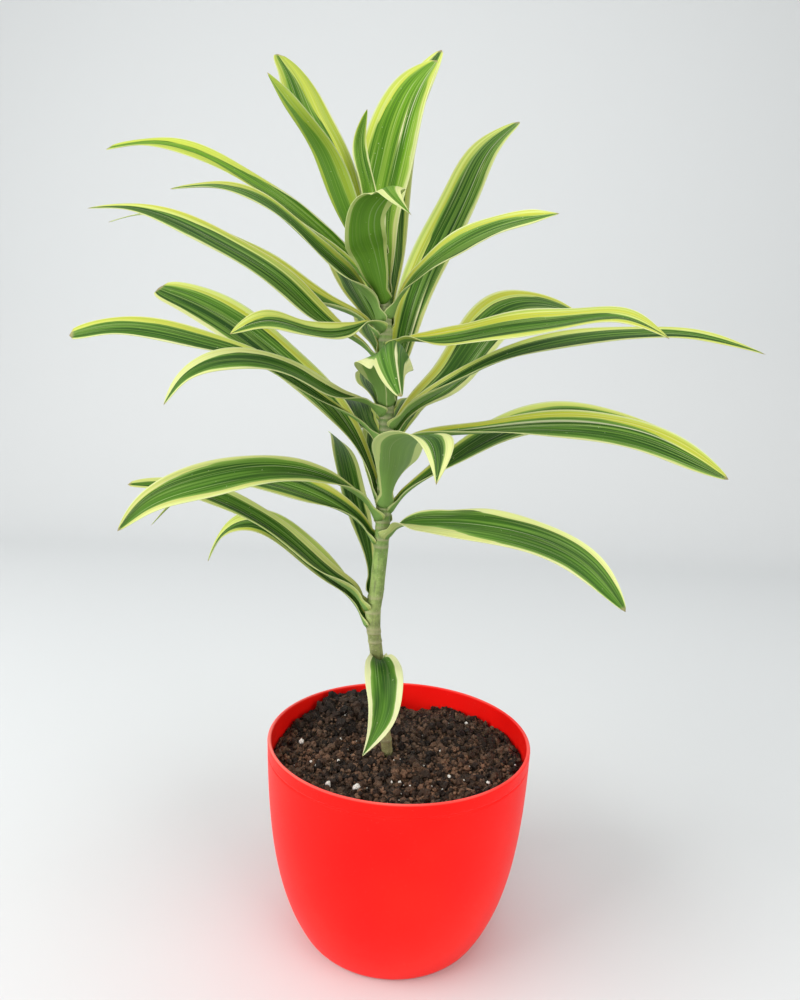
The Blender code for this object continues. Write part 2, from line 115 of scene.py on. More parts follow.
def new_piece(name, points, faces, material):
    """An object at the origin with these points, in millimetres, and triangles, shaded smooth."""
    mesh = bpy.data.meshes.new(name)
    mesh.vertices.add(len(points))
    mesh.vertices.foreach_set("co", np.asarray(points * MM, np.float32).ravel())
    mesh.loops.add(faces.size)
    mesh.loops.foreach_set("vertex_index", np.asarray(faces, np.int32).ravel())
    mesh.polygons.add(len(faces))
    mesh.polygons.foreach_set("loop_start", np.arange(0, faces.size, 3, dtype=np.int32))
    mesh.update(calc_edges=True)
    mesh.validate()
    mesh.shade_smooth()
    mesh.materials.append(material)
    piece = bpy.data.objects.new(name, mesh)
    bpy.context.scene.collection.objects.link(piece)
    return piece


def keep_numbers(piece, name, values):
    """Stores one value, or one triple, for each point, where the material can read it."""
    kind, field = ("FLOAT", "value") if np.ndim(values) == 1 else ("FLOAT_VECTOR", "vector")
    made = piece.data.attributes.new(name, kind, "POINT")
    made.data.foreach_set(field, np.asarray(values, np.float32).ravel())


def seat(piece, slot_name, *nodes):
    """Hangs a piece on the root body, with the pot, and hides the solids that it stands for.

    slot_name is not used.
    """
    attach(piece, "root")
    if nodes:
        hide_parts(*nodes)


# %% [markdown]
# ## Building materials with small helpers
#
# Shader nodes are wordy in Python, so a few helpers do the typing. An input is either a plain number
# or colour, which is set, or another node's socket, which is joined. Most of the patterns below are
# made with lay, which puts a second colour over a first where some noise passes a threshold.

# %% Helpers for shader nodes


def fill(tree, node, inputs):
    """Sets each named or numbered input of a node, or joins it to a socket."""
    for name, value in inputs.items():
        if isinstance(value, bpy.types.NodeSocket):
            tree.links.new(value, node.inputs[name])
        else:
            node.inputs[name].default_value = value


def add(tree, kind, inputs=(), **settings):
    """A new node with its settings and its inputs."""
    made = tree.nodes.new(kind)
    for name, value in settings.items():
        setattr(made, name, value)
    fill(tree, made, dict(inputs))
    return made


def calc(tree, operation, *values):
    """Arithmetic on up to three numbers or sockets."""
    return add(tree, "ShaderNodeMath", enumerate(values), operation=operation).outputs[0]


def step(tree, value, low, high):
    """A smooth step from 0 at low to 1 at high, also downwards when low is above high."""
    ranges = {0: value, 1: low, 2: high, 3: 0.0, 4: 1.0}
    return add(tree, "ShaderNodeMapRange", ranges, interpolation_type="SMOOTHSTEP").outputs[0]


def blend(tree, share, first, second, how="MIX"):
    """Colour first turning into second as share goes from 0 to 1."""
    inputs = {0: share}
    for place, value in ((6, first), (7, second)):
        inputs[place] = value if isinstance(value, bpy.types.NodeSocket) else (*value, 1.0)
    return add(tree, "ShaderNodeMix", inputs, data_type="RGBA", blend_type=how).outputs[2]


def lay(tree, under, over, share, noise, low, high):
    """Up to a share of colour over on colour under, where the noise goes from low to high."""
    return blend(tree, calc(tree, "MULTIPLY", step(tree, noise, low, high), share), under, over)


def clouds(tree, where, scale, detail=2.0, rough=0.5):
    """Soft noise, about 0.5 on average."""
    inputs = {"Vector": where, "Scale": scale, "Detail": detail, "Roughness": rough}
    return add(tree, "ShaderNodeTexNoise", inputs).outputs[0]


def raised(tree, height, distance, strength=1.0):
    """A bump that stands distance metres high where height is 1."""
    inputs = {"Height": height, "Distance": distance, "Strength": strength}
    return add(tree, "ShaderNodeBump", inputs).outputs[0]


def parts(tree, vector):
    """The three numbers of a vector."""
    return add(tree, "ShaderNodeSeparateXYZ", {0: vector}).outputs


def stored(tree, name, kind="Vector"):
    """What keep_numbers stored under this name, a Vector or a Fac for a single number."""
    return add(tree, "ShaderNodeAttribute", attribute_name=name).outputs[kind]


def position(tree):
    """Object coordinates, in metres."""
    return add(tree, "ShaderNodeTexCoord").outputs["Object"]


def paint(name):
    """A new material, its node tree and its Principled shader."""
    made = bpy.data.materials.new(name)
    made.use_nodes = True
    return made, made.node_tree, made.node_tree.nodes["Principled BSDF"]


# %% [markdown]
# ## The cane's line and the leaves' places
#
# The cane rises almost straight, leans a little to the left and carries every leaf, so its line and
# radius come first. Each leaf is then a short list of facts that a person could measure: how high it
# sits, which way it grows, how wide it is, and a few points that its midrib passes. They are the same
# values, in millimetres, that the solids were built from, so the fine blades lie where the solids do.

# %% The cane's line
CANE_LINE = (
    (-5.0, 60), (-6.0, 95), (-9.5, 118), (-13.5, 148), (-16.0, 164), (-16.6, 173), (-15.0, 184),
    (-13.5, 205), (-13.0, 225), (-13.0, 252), (-13.5, 282), (-15.0, 307), (-16.5, 331), (-17.5, 345),
    (-18.0, 356),
)
CANE_RADII = (
    (60, 3.1), (95, 3.0), (118, 3.2), (145, 3.5), (160, 3.6), (172, 4.2), (190, 3.8), (260, 3.8),
    (315, 3.4), (345, 2.2), (356, 1.2),
)


def cane_centre(level):
    return np.interp(level, [z for x, z in CANE_LINE], [x for x, z in CANE_LINE])


def cane_radius(level):
    return np.interp(level, [z for z, r in CANE_RADII], [r for z, r in CANE_RADII])


print("cane stands", CANE_LINE[-1][1] - CANE_LINE[0][1], "mm long with its buried foot")

# %% The leaves
TIP_WIDENING = 1.9


def leaf(level, heading, width, points, **shape):
    """One leaf: height on the cane, compass heading, width, and points that its midrib passes.

    roll turns the blade about its midrib at base and tip, in degrees, fold is how deeply it is
    guttered there, and taper says how early it widens and how late it narrows. crease is the gutter's
    power, 1 for a sharp fold and 2 for a round one, and settle is the share of the length by which the
    gutter has its depth at the tip. lift says how much more upright than its first point the blade
    leaves the cane, and neck is the width there as a share of the full width. edges are the pale
    margins' widths, left and right of someone looking out along the leaf, as shares of the full width,
    and tip_edges the same near the tip, reached over the shares of the length named by turn. white
    says how far the margins go from yellow to cream, and the lines on the green fade with it. band is
    one more pale stripe along the leaf: its place across, -1 at the left edge to 1 at the right one,
    and half its width.
    """
    plain = dict(roll=(0, 0), fold=(0.3, 0.12), taper=(0.85, 0.95), crease=1.35, settle=0.7,
                 lift=0.45, neck=0.34, edges=(0.13, 0.13), tip_edges=None, turn=(0.6, 1.0),
                 white=0.0, band=(0, -1))
    item = dict(plain, level=level, heading=heading, width=width, points=points, **shape)
    item["tip_edges"] = item["tip_edges"] or tuple(TIP_WIDENING * edge for edge in item["edges"])
    return item


LEAVES = (
    leaf(147, 280, 19, ((-9, -24, 147), (-8, -31, 134), (-18, -36, 110)), roll=(8, -18),
         fold=(0.08, 0.21), taper=(0.62, 1.09), edges=(0.16, 0.16), tip_edges=(0.26, 0.22),
         white=0.75),
    leaf(165, 163, 19, ((-36, 6, 185), (-57, 13, 202), (-83, 20, 214), (-99, 25, 208),
         (-111, 29, 188)), roll=(10, 45), edges=(0.08, 0.17), tip_edges=(0.15, 0.45),
         turn=(0.4, 0.75)),
    leaf(174, 184, 18, ((-38, -1, 189), (-58, -3, 206), (-94, -5, 228), (-123, -7, 235),
         (-141, -9, 235)), roll=(10, 34), fold=(0.39, 0.25), taper=(0.35, 0.49), edges=(0.13, 0.17),
         white=0.2),
    leaf(182, 112, 18, ((-22, 20, 202), (-33, 50, 229), (-44, 90, 252), (-55, 122, 259)),
         roll=(0, -35), taper=(1.2, 0.95), edges=(0.1, 0.15), white=0.3),
    leaf(209, 155, 24, ((-36, 11, 224), (-71, 27, 234), (-112, 46, 233), (-156, 67, 200)),
         roll=(25, 25), edges=(0.12, 0.13)),
    leaf(213, -38, 24, ((7, -25, 224), (31, -62, 230), (67, -90, 223), (80, -108, 209)),
         roll=(-29, -20), fold=(0.31, 0.1), taper=(0.7, 0.72), edges=(0.06, 0.35),
         tip_edges=(0.12, 0.06), turn=(0.3, 0.65), white=0.35),
    leaf(219, 88, 24, ((-16, 25, 244), (-17, 60, 260), (-17, 100, 266), (-16, 135, 254))),
    leaf(222, 207, 21, ((-29, -8, 236), (-55, -21, 246), (-95, -42, 242), (-117, -53, 232),
         (-127, -58, 221)), roll=(12, 60), fold=(0.32, 0.11), taper=(0.99, 0.85),
         edges=(0.12, 0.13), white=0.25),
    leaf(226, 12, 26, ((13, 6, 246), (45, 12, 267), (77, 19, 276), (113, 27, 274), (169, 39, 255)),
         roll=(-26, -37), fold=(0.3, 0.13), taper=(1.09, 0.84), edges=(0.13, 0.08),
         tip_edges=(0.12, 0.10)),
    leaf(229, 285, 24, ((-7, -33, 254), (-5, -54, 264), (8, -86, 267), (8, -107, 253)),
         roll=(2, -4), fold=(0.44, 0.13), taper=(0.92, 1.04), crease=1.74, lift=0.99, settle=0.81,
         edges=(0.17, 0.13), white=0.4),
    leaf(232, 150, 27, ((-31, 10, 263), (-70, 33, 299), (-110, 56, 325), (-132, 69, 335),
         (-156, 83, 343)), roll=(24, 41), taper=(0.86, 0.35), edges=(0.08, 0.2),
         tip_edges=(0.10, 0.24)),
    leaf(239, 76, 19, ((-13, 22, 260), (-12, 55, 270), (-13, 95, 274), (-12, 128, 266))),
    leaf(251, 38, 18, ((-6, 20, 269), (0, 50, 280), (4, 80, 283), (6, 104, 277))),
    leaf(255, 120, 20, ((-25, 25, 267), (-32, 55, 277), (-38, 88, 281), (-44, 118, 279)), neck=0.3),
    leaf(257, -14, 24, ((15, -7, 266), (60, -18, 272), (108, -30, 269), (144, -39, 253)),
         roll=(-5, -53), fold=(0.44, 0.15), taper=(0.94, 0.74), edges=(0.2, 0.06)),
    leaf(261, 187, 17, ((-40, -3, 278), (-74, -8, 298), (-105, -11, 307), (-144, -16, 311),
         (-164, -19, 306)), roll=(30, 39), fold=(0.26, 0.1), taper=(0.94, 0.3), edges=(0.06, 0.2),
         tip_edges=(0.10, 0.28)),
    leaf(263, 48, 27, ((19, 36, 296), (43, 63, 329), (72, 95, 344), (119, 147, 343)),
         roll=(-52, -41), fold=(0.14, 0.07), taper=(0.78, 0.64), edges=(0.23, 0.1),
         tip_edges=(0.2, 0.15)),
    leaf(269, -10, 17, ((12, -5, 287), (33, -8, 300), (70, -15, 313), (108, -21, 318),
         (125, -24, 318), (159, -30, 310)), roll=(-24, -35), fold=(0.46, 0.12), taper=(0.71, 0.88),
         edges=(0.17, 0.1)),
    leaf(272, 128, 18, ((-21, 18, 286), (-24, 45, 293), (-27, 75, 298), (-30, 100, 296))),
    leaf(275, 208, 18, ((-33, -10, 282), (-56, -23, 293), (-86, -39, 297), (-102, -47, 288),
         (-109, -51, 276)), roll=(30, 37), fold=(0.33, 0.05), taper=(0.88, 0.95),
         edges=(0.08, 0.23), white=0.35),
    leaf(278, 64, 28, ((-8, 25, 304), (0, 45, 341), (24, 66, 401), (36, 76, 427), (56, 86, 447)),
         roll=(-7, -6), taper=(0.81, 0.55), edges=(0.26, 0.1), tip_edges=(0.30, 0.12),
         band=(0.45, 0.02)),
    leaf(280, 262, 24, ((-17, -27, 300), (-12, -44, 305), (-10, -61, 307), (-9, -89, 297),
         (-6, -102, 284)), roll=(-1, 5), fold=(0.35, -1.1), taper=(0.4, 0.7), crease=1.46,
         lift=0.42, settle=0.61, edges=(0.1, 0.13), tip_edges=(0.16, 0.12), turn=(0.3, 0.5),
         white=0.5, band=(-0.1, 0.06)),
    leaf(296, 108, 18, ((-21, 22, 312), (-27, 55, 327), (-31, 92, 335), (-31, 118, 333)), neck=0.3),
    leaf(300, 177, 19, ((-41, 1, 316), (-67, 3, 337), (-98, 4, 355), (-146, 7, 371),
         (-166, 8, 370)), roll=(38, 40), taper=(0.82, 0.94), neck=0.3, edges=(0.06, 0.22)),
    leaf(304, 98, 20, ((-30, 27, 334), (-43, 60, 357), (-53, 95, 376), (-60, 120, 385)), neck=0.3,
         edges=(0.13, 0.2)),
    leaf(307, -28, 25, ((2, -9, 311), (38, -28, 316), (67, -43, 320), (86, -54, 321),
         (103, -63, 312)), roll=(-40, -29), fold=(0.29, 0.12), taper=(0.94, 1.01),
         edges=(0.26, 0.16)),
    leaf(313, 150, 18, ((-48, 19, 330), (-83, 39, 352), (-122, 62, 372), (-162, 85, 386),
         (-194, 103, 384)), roll=(28, 29), fold=(0.32, 0.06), taper=(0.79, 1.08), neck=0.3,
         edges=(0.08, 0.23)),
    leaf(316, 222, 18, ((-27, -10, 317), (-51, -31, 312), (-65, -44, 314), (-79, -57, 307)),
         roll=(30, 35), fold=(0.35, 0.13), taper=(1.27, 0.96), edges=(0.12, 0.23)),
    leaf(318, 70, 23, ((-14, 20, 349), (-16, 42, 394), (-9, 60, 444), (8, 74, 479)),
         taper=(0.85, 0.6), neck=0.28),
    leaf(321, 206, 21, ((-29, -6, 335), (-49, -16, 351), (-73, -28, 368), (-89, -36, 371),
         (-108, -45, 367)), roll=(41, 29), fold=(0.26, 0.16), taper=(0.66, 0.95), neck=0.32,
         edges=(0.08, 0.18)),
    leaf(323, -20, 22, ((-5, -4, 337), (13, -11, 353), (36, -19, 364), (61, -28, 368)),
         roll=(-47, -40), fold=(0.29, 0.08), taper=(1.19, 0.94), edges=(0.23, 0.06)),
    leaf(328, 149, 17, ((-40, 14, 354), (-69, 32, 379), (-101, 51, 401), (-153, 82, 425),
         (-196, 108, 429)), roll=(2, 42), fold=(0.43, 0.14), taper=(0.35, 0.32), neck=0.3,
         edges=(0.13, 0.06), tip_edges=(0.34, 0.30), turn=(0.35, 0.6)),
    leaf(330, 262, 20, ((-24, -17, 351), (-26, -29, 356), (-24, -36, 366), (-17, -42, 371),
         (-14, -58, 367), (-5, -68, 355)), roll=(-31, -9), fold=(0.04, -0.25), taper=(0.83, 1.23),
         crease=1.37, lift=0.01, settle=0.75, edges=(0.1, 0.1), tip_edges=(0.25, 0.22),
         turn=(0.52, 0.68), white=0.45),
    leaf(334, 74, 29, ((-22, 15, 369), (-20, 30, 401), (-13, 40, 434), (-4, 47, 453), (5, 52, 464)),
         roll=(-24, -6), fold=(0.09, 0.1), taper=(0.8, 0.6), neck=0.2, edges=(0.15, 0.1),
         tip_edges=(0.26, 0.16), band=(0.3, 0.03)),
    leaf(337, 212, 20, ((-35, -12, 366), (-47, -24, 392), (-56, -36, 402), (-68, -42, 416)),
         roll=(-2, 4), fold=(0.3, 0.16), taper=(0.64, 0.79), neck=0.25, edges=(0.28, 0.17)),
    leaf(343, 160, 27, ((-31, 4, 364), (-48, 20, 405), (-61, 33, 429), (-70, 42, 448),
         (-80, 48, 462)), roll=(9, 12), fold=(0.3, 0.06), taper=(0.87, 0.49), neck=0.2,
         edges=(0.1, 0.3)),
    leaf(353, 86, 9, ((-22, 6, 366), (-28, 13, 388), (-33, 22, 410), (-30, 28, 429)),
         taper=(0.85, 0.8), neck=0.35, edges=(0.08, 0.08)),
)
widths = [item["width"] for item in LEAVES]
print(len(LEAVES), "leaves, each", min(widths), "to", max(widths), "mm wide")

# %% [markdown]
# ## A blade as a surface of two parameters
#
# A leaf of this plant is a long gutter that starts hugging the cane, rises a few millimetres, arches
# out and flattens towards a drawn-out tip. So the blade is worked out as a grid: share runs from base
# to tip, and across from one margin to the other. The midrib is a natural cubic spline through the
# listed points. At each station a sideways and an upward direction are found, turned by the roll, and
# the cross-section is drawn in them. Because all stations are computed together there is no loop over
# points, and the same function could draw a coarse or a fine blade.

# %% The spline
SPLINE_STEPS = 241
NUDGE = 0.001


def natural_spline(points, where):
    """A natural cubic spline, with its knots at their chord lengths, read at shares of its run.

    Each point's bend comes from one set of linear equations that makes slopes meet at every knot.
    """
    points = np.asarray(points, float)
    steps = np.linalg.norm(np.diff(points, axis=0), axis=1)
    knots = np.concatenate([[0.0], np.cumsum(steps)])
    count = len(points)
    system = np.eye(count)
    right = np.zeros_like(points)
    for i in range(1, count - 1):
        system[i, i - 1:i + 2] = steps[i - 1], 2 * (steps[i - 1] + steps[i]), steps[i]
        slope_after = (points[i + 1] - points[i]) / steps[i]
        slope_before = (points[i] - points[i - 1]) / steps[i - 1]
        right[i] = 6 * (slope_after - slope_before)
    bend = np.linalg.solve(system, right)
    run = np.asarray(where) * knots[-1]
    i = np.clip(np.searchsorted(knots, run, side="right") - 1, 0, count - 2)
    after = (run - knots[i])[:, None]
    span = steps[i][:, None]
    before = span - after
    cubic = (bend[i] * before**3 + bend[i + 1] * after**3) / (6 * span)
    start = (points[i] / span - bend[i] * span / 6) * before
    end = (points[i + 1] / span - bend[i + 1] * span / 6) * after
    return cubic + start + end


def unit(vectors):
    """Each vector divided by its length."""
    return vectors / np.maximum(np.linalg.norm(vectors, axis=-1, keepdims=True), 1e-9)


def even_run(points, where):
    """Places at shares of the spline's length, their unit tangents, and the length in millimetres."""
    fine = np.linspace(0, 1, SPLINE_STEPS)
    track = natural_spline(points, fine)
    run = np.concatenate([[0.0], np.cumsum(np.linalg.norm(np.diff(track, axis=0), axis=1))])
    at = np.interp(np.asarray(where) * run[-1], run, fine)
    ahead, behind = (natural_spline(points, np.clip(at + n, 0, 1)) for n in (NUDGE, -NUDGE))
    return natural_spline(points, at), unit(ahead - behind), run[-1]


def ease(share):
    """0 below 0, 1 above 1, and 3 t^2 - 2 t^3 between."""
    share = np.clip(share, 0, 1)
    return share * share * (3 - 2 * share)


# %% The blade's middle surface
BLADE_THICKNESS = 0.8
BLADE_CLEARANCE = 0.6
EDGE_WAVE = 0.6
EDGE_WAVES = 2.5
NECK_RUN = 6.0
SHEATH_LENGTH = 13.0
SHEATH_ANGLE = 1.45
BASE_GUTTER = 0.4
TURN_SHARE = 0.3
ROLL_SHARE = 0.25


def half_width(share, item):
    """Half the width along the blade: share^early * (1 - share)^late, over a neck that fades out."""
    early, late = item["taper"]
    top = (early / (early + late)) ** early * (late / (early + late)) ** late
    body = share**early * (1 - share) ** late / top
    neck = item["neck"] * (1 - share) ** 4
    return 0.5 * item["width"] * (body**4 + neck**4) ** 0.25


def blade_surface(item, share, across):
    """The blade's middle surface as a grid, with its length.

    Each station's point is the midrib's, plus the sideways direction times how far across, plus the
    upward direction times the lift: width * fold * |across|^crease for the gutter and a sine for the
    wave of the edges. Near the base it goes over into the arc of a circle round the cane, sin and
    1 - cos of the angle times its radius, widened there until it holds half the cane.
    """
    angle = math.radians(item["heading"])
    heading = np.array([math.cos(angle), math.sin(angle), 0.0])
    hug = cane_radius(item["level"]) + BLADE_CLEARANCE + BLADE_THICKNESS / 2
    start = np.array([cane_centre(item["level"]), 0.0, item["level"]]) + hug * heading
    way = unit(np.array(item["points"][0]) - start) + np.array([0.0, 0.0, item["lift"]])
    second = start + NECK_RUN * way / np.linalg.norm(way)
    track = np.array([start, second, *item["points"]], float)
    middle, tangent, length = even_run(track, share)
    run = track[-1] - track[0]
    run = np.array([run[0], run[1], 0.0]) / math.hypot(run[0], run[1])
    turned = ease(share / TURN_SHARE)
    facing = (1 - turned[:, None]) * heading + turned[:, None] * run
    sideways = np.cross(facing, (0.0, 0.0, 1.0))
    sideways = unit(sideways - np.sum(sideways * tangent, axis=1)[:, None] * tangent)
    upward = np.cross(sideways, tangent)
    first, last = item["roll"]
    roll = np.radians(first + (last - first) * share) * ease(share / ROLL_SHARE)
    cos, sin = np.cos(roll)[:, None], np.sin(roll)[:, None]
    sideways, upward = sideways * cos + upward * sin, upward * cos - sideways * sin

    half = half_width(share, item)[:, None]
    first, last = item["fold"]
    gutter = first + (last - first) * ease(share / item["settle"]) + BASE_GUTTER * (1 - turned)
    gutter = gutter[:, None]
    flat = half * across * np.sqrt(1 - (0.6 * gutter * np.abs(across)) ** 2)
    edge_wave = EDGE_WAVE * np.sin(2 * math.pi * EDGE_WAVES * share)
    edge_wave = (edge_wave * ease(share / 0.2) * ease((1 - share) / 0.15))[:, None]
    ripple = edge_wave * np.abs(across) ** 3 * np.where(across < 0, 1.0, -0.8)
    lift = half * gutter * np.abs(across) ** item["crease"] + ripple
    clasp = 1 - ease(share[:, None] * length / SHEATH_LENGTH)
    around = np.maximum(half, hug * SHEATH_ANGLE * clasp) * across / hug
    flat = (1 - clasp) * flat + clasp * hug * np.sin(around)
    lift = (1 - clasp) * lift + clasp * hug * (1 - np.cos(around))
    grid = middle[:, None] + sideways[:, None] * flat[..., None] + upward[:, None] * lift[..., None]
    return grid, upward, length


# %% [markdown]
# ## From a surface to a blade with two faces
#
# A real blade is thickest along its midrib and thin at its margins. So each grid point is moved out
# along the surface's normal, up for the upper face and down for the lower one, by half a thickness
# that falls off towards the margins and the tip. The two faces together make a closed ring at every
# station, and the tip is the last pole. At the base the ring is carried on into the cane as a heel,
# the way a leaf base grows out of the bark. Columns are packed closer near the margins, where the
# curvature is.

# %% A closed blade
BLADE_ROWS = 84
BLADE_COLUMNS = 16
BLADE_AROUND = 2 * (BLADE_COLUMNS + 1)
MIDRIB_GROOVE = 0.22
MIDRIB_WIDTH = 0.09
EDGE_THINNING = 0.6
TIP_THINNING = 0.35
HEEL_DROP = 1.8
HEEL_DEPTH = 0.3
MAP_EDGE = 0.02


def blade_rings(item):
    """Points of a blade's rings, heel to tip, each ring's share, the places across and the length."""
    share = np.linspace(0, 1, BLADE_ROWS + 1)[:-1] ** 1.1
    across = np.sin(np.linspace(-1, 1, BLADE_COLUMNS + 1) * math.pi / 2)
    grid, upward, length = blade_surface(item, share, across)
    tip = blade_surface(item, np.array([0.0, 1.0]), across)[0][-1, BLADE_COLUMNS // 2]
    normal = unit(np.cross(np.gradient(grid, axis=1), np.gradient(grid, axis=0)))
    normal *= np.sign(np.sum(normal * upward[:, None], axis=-1))[..., None]
    thin = (1 - EDGE_THINNING * np.abs(across) ** 2) * (1 - TIP_THINNING * share[:, None])
    half = 0.5 * BLADE_THICKNESS * thin[..., None]
    rib = np.exp(-(across / MIDRIB_WIDTH) ** 2)
    hollow = MIDRIB_GROOVE * rib * ease((1 - share[:, None]) / 0.3)
    upper = grid + normal * (half - hollow[..., None])
    lower = grid - normal * half
    rings = np.concatenate([upper, lower[:, ::-1]], axis=1)
    heel = rings[0].copy()
    axis = np.array([cane_centre(item["level"]), 0.0])
    out = heel[:, :2] - axis
    inside = (cane_radius(item["level"]) - HEEL_DEPTH) / np.linalg.norm(out, axis=1)[:, None]
    heel[:, :2] = axis + out * inside
    heel[:, 2] -= HEEL_DROP
    rings = np.concatenate([heel[None], rings])
    points = np.concatenate([[heel.mean(axis=0)], rings.reshape(-1, 3), [tip]])
    return points, np.concatenate([[0.0], share]), across, length


def blade_facts(item, share, across, draw):
    """Three triples for each point, which the material reads.

    place is how far across, how far along and a number drawn for the leaf. facts is 1 on the upper
    face, and the widths of both margins. marks is the band's place and half width, and white.
    """
    seed = draw.uniform(0, 40)
    place = np.zeros((len(share), BLADE_AROUND, 3))
    place[..., 0] = np.concatenate([across, across[::-1]])
    place[..., 1] = share[:, None]
    place[..., 2] = seed
    place = np.concatenate([[(0, 0, seed)], place.reshape(-1, 3), [(0, 1, seed)]])
    facts = np.zeros((len(share), BLADE_AROUND, 3))
    facts[:, :BLADE_AROUND // 2, 0] = 1
    start, end = item["turn"]
    toward_tip = ease((share - start) / (end - start))[:, None, None]
    base_edges, tip_edges = np.array(item["edges"]), np.array(item["tip_edges"])
    facts[..., 1:] = base_edges + (tip_edges - base_edges) * toward_tip
    facts = np.concatenate([facts[0, :1], facts.reshape(-1, 3), facts[-1, :1]])
    marks = np.zeros((len(place), 3)) + np.array((*item["band"], item["white"]))
    return {"place": place, "facts": facts, "marks": marks}


def blade_map(piece, rows):
    """A flat map of the blade: round it from left to right, along it from bottom to top.

    Each corner of a face gets its ring as height and its column as width. On the faces that close
    the ring the last column stands past the others, so that nothing is folded over.
    """
    mesh, around = piece.data, BLADE_AROUND
    corner = np.empty(len(mesh.loops), np.int32)
    mesh.loops.foreach_get("vertex_index", corner)
    last = 1 + rows * around
    pole = (corner == 0) | (corner == last)
    column = np.where(pole, 0, (corner - 1) % around).astype(float)
    row = np.where(corner == last, rows, np.clip((corner - 1) // around, 0, rows - 1))
    spread = np.ptp(column.reshape(-1, 3), axis=1)
    wraps = np.repeat(spread > 1.5, 3)
    column = np.where(wraps & (column < 1.5) & ~pole, around, column)
    middle = np.repeat(np.where(pole, 0, column).reshape(-1, 3).sum(axis=1) / 2, 3)
    column = np.where(pole, middle, column)
    flat = np.stack([column / around, (row + (corner > 0)) / (rows + 1)], axis=1)
    flat = MAP_EDGE + (1 - 2 * MAP_EDGE) * flat
    mesh.uv_layers.new(name="blade").uv.foreach_set("vector", flat.astype(np.float32).ravel())


# %% [markdown]
# ## The stripes on a leaf
#
# Each leaf is green along the middle and yellow to cream along both margins, one margin mostly wider
# than the other. The border between the two runs with the veins, so it is streaky and never quite
# alike on two leaves. The veins follow the blade's own shape, so the pattern reads numbers stored with
# each point: how far across and along, a number drawn for each leaf, and how wide its two margins are.
# Noise that is stretched along the blade gives the streaks. A margin that lies in shade is lit through
# and looks mustard, and this is painted: each margin colour has a darker copy in painted shade, laid
# in random patches, and mustard painted shade grows towards the leaf's base. Old and young leaves use
# the same pattern with other greens, so it is a node group with named inputs.

# %% The stripe pattern as a node group
EDGE_LINE = (0.86, 0.87, 0.58)
DRY_TIP = (0.52, 0.44, 0.22)
# Mustard painted shade for the margins towards a leaf's base.
PAINTED_SHADE_MUSTARD = (0.56, 0.46, 0.03)


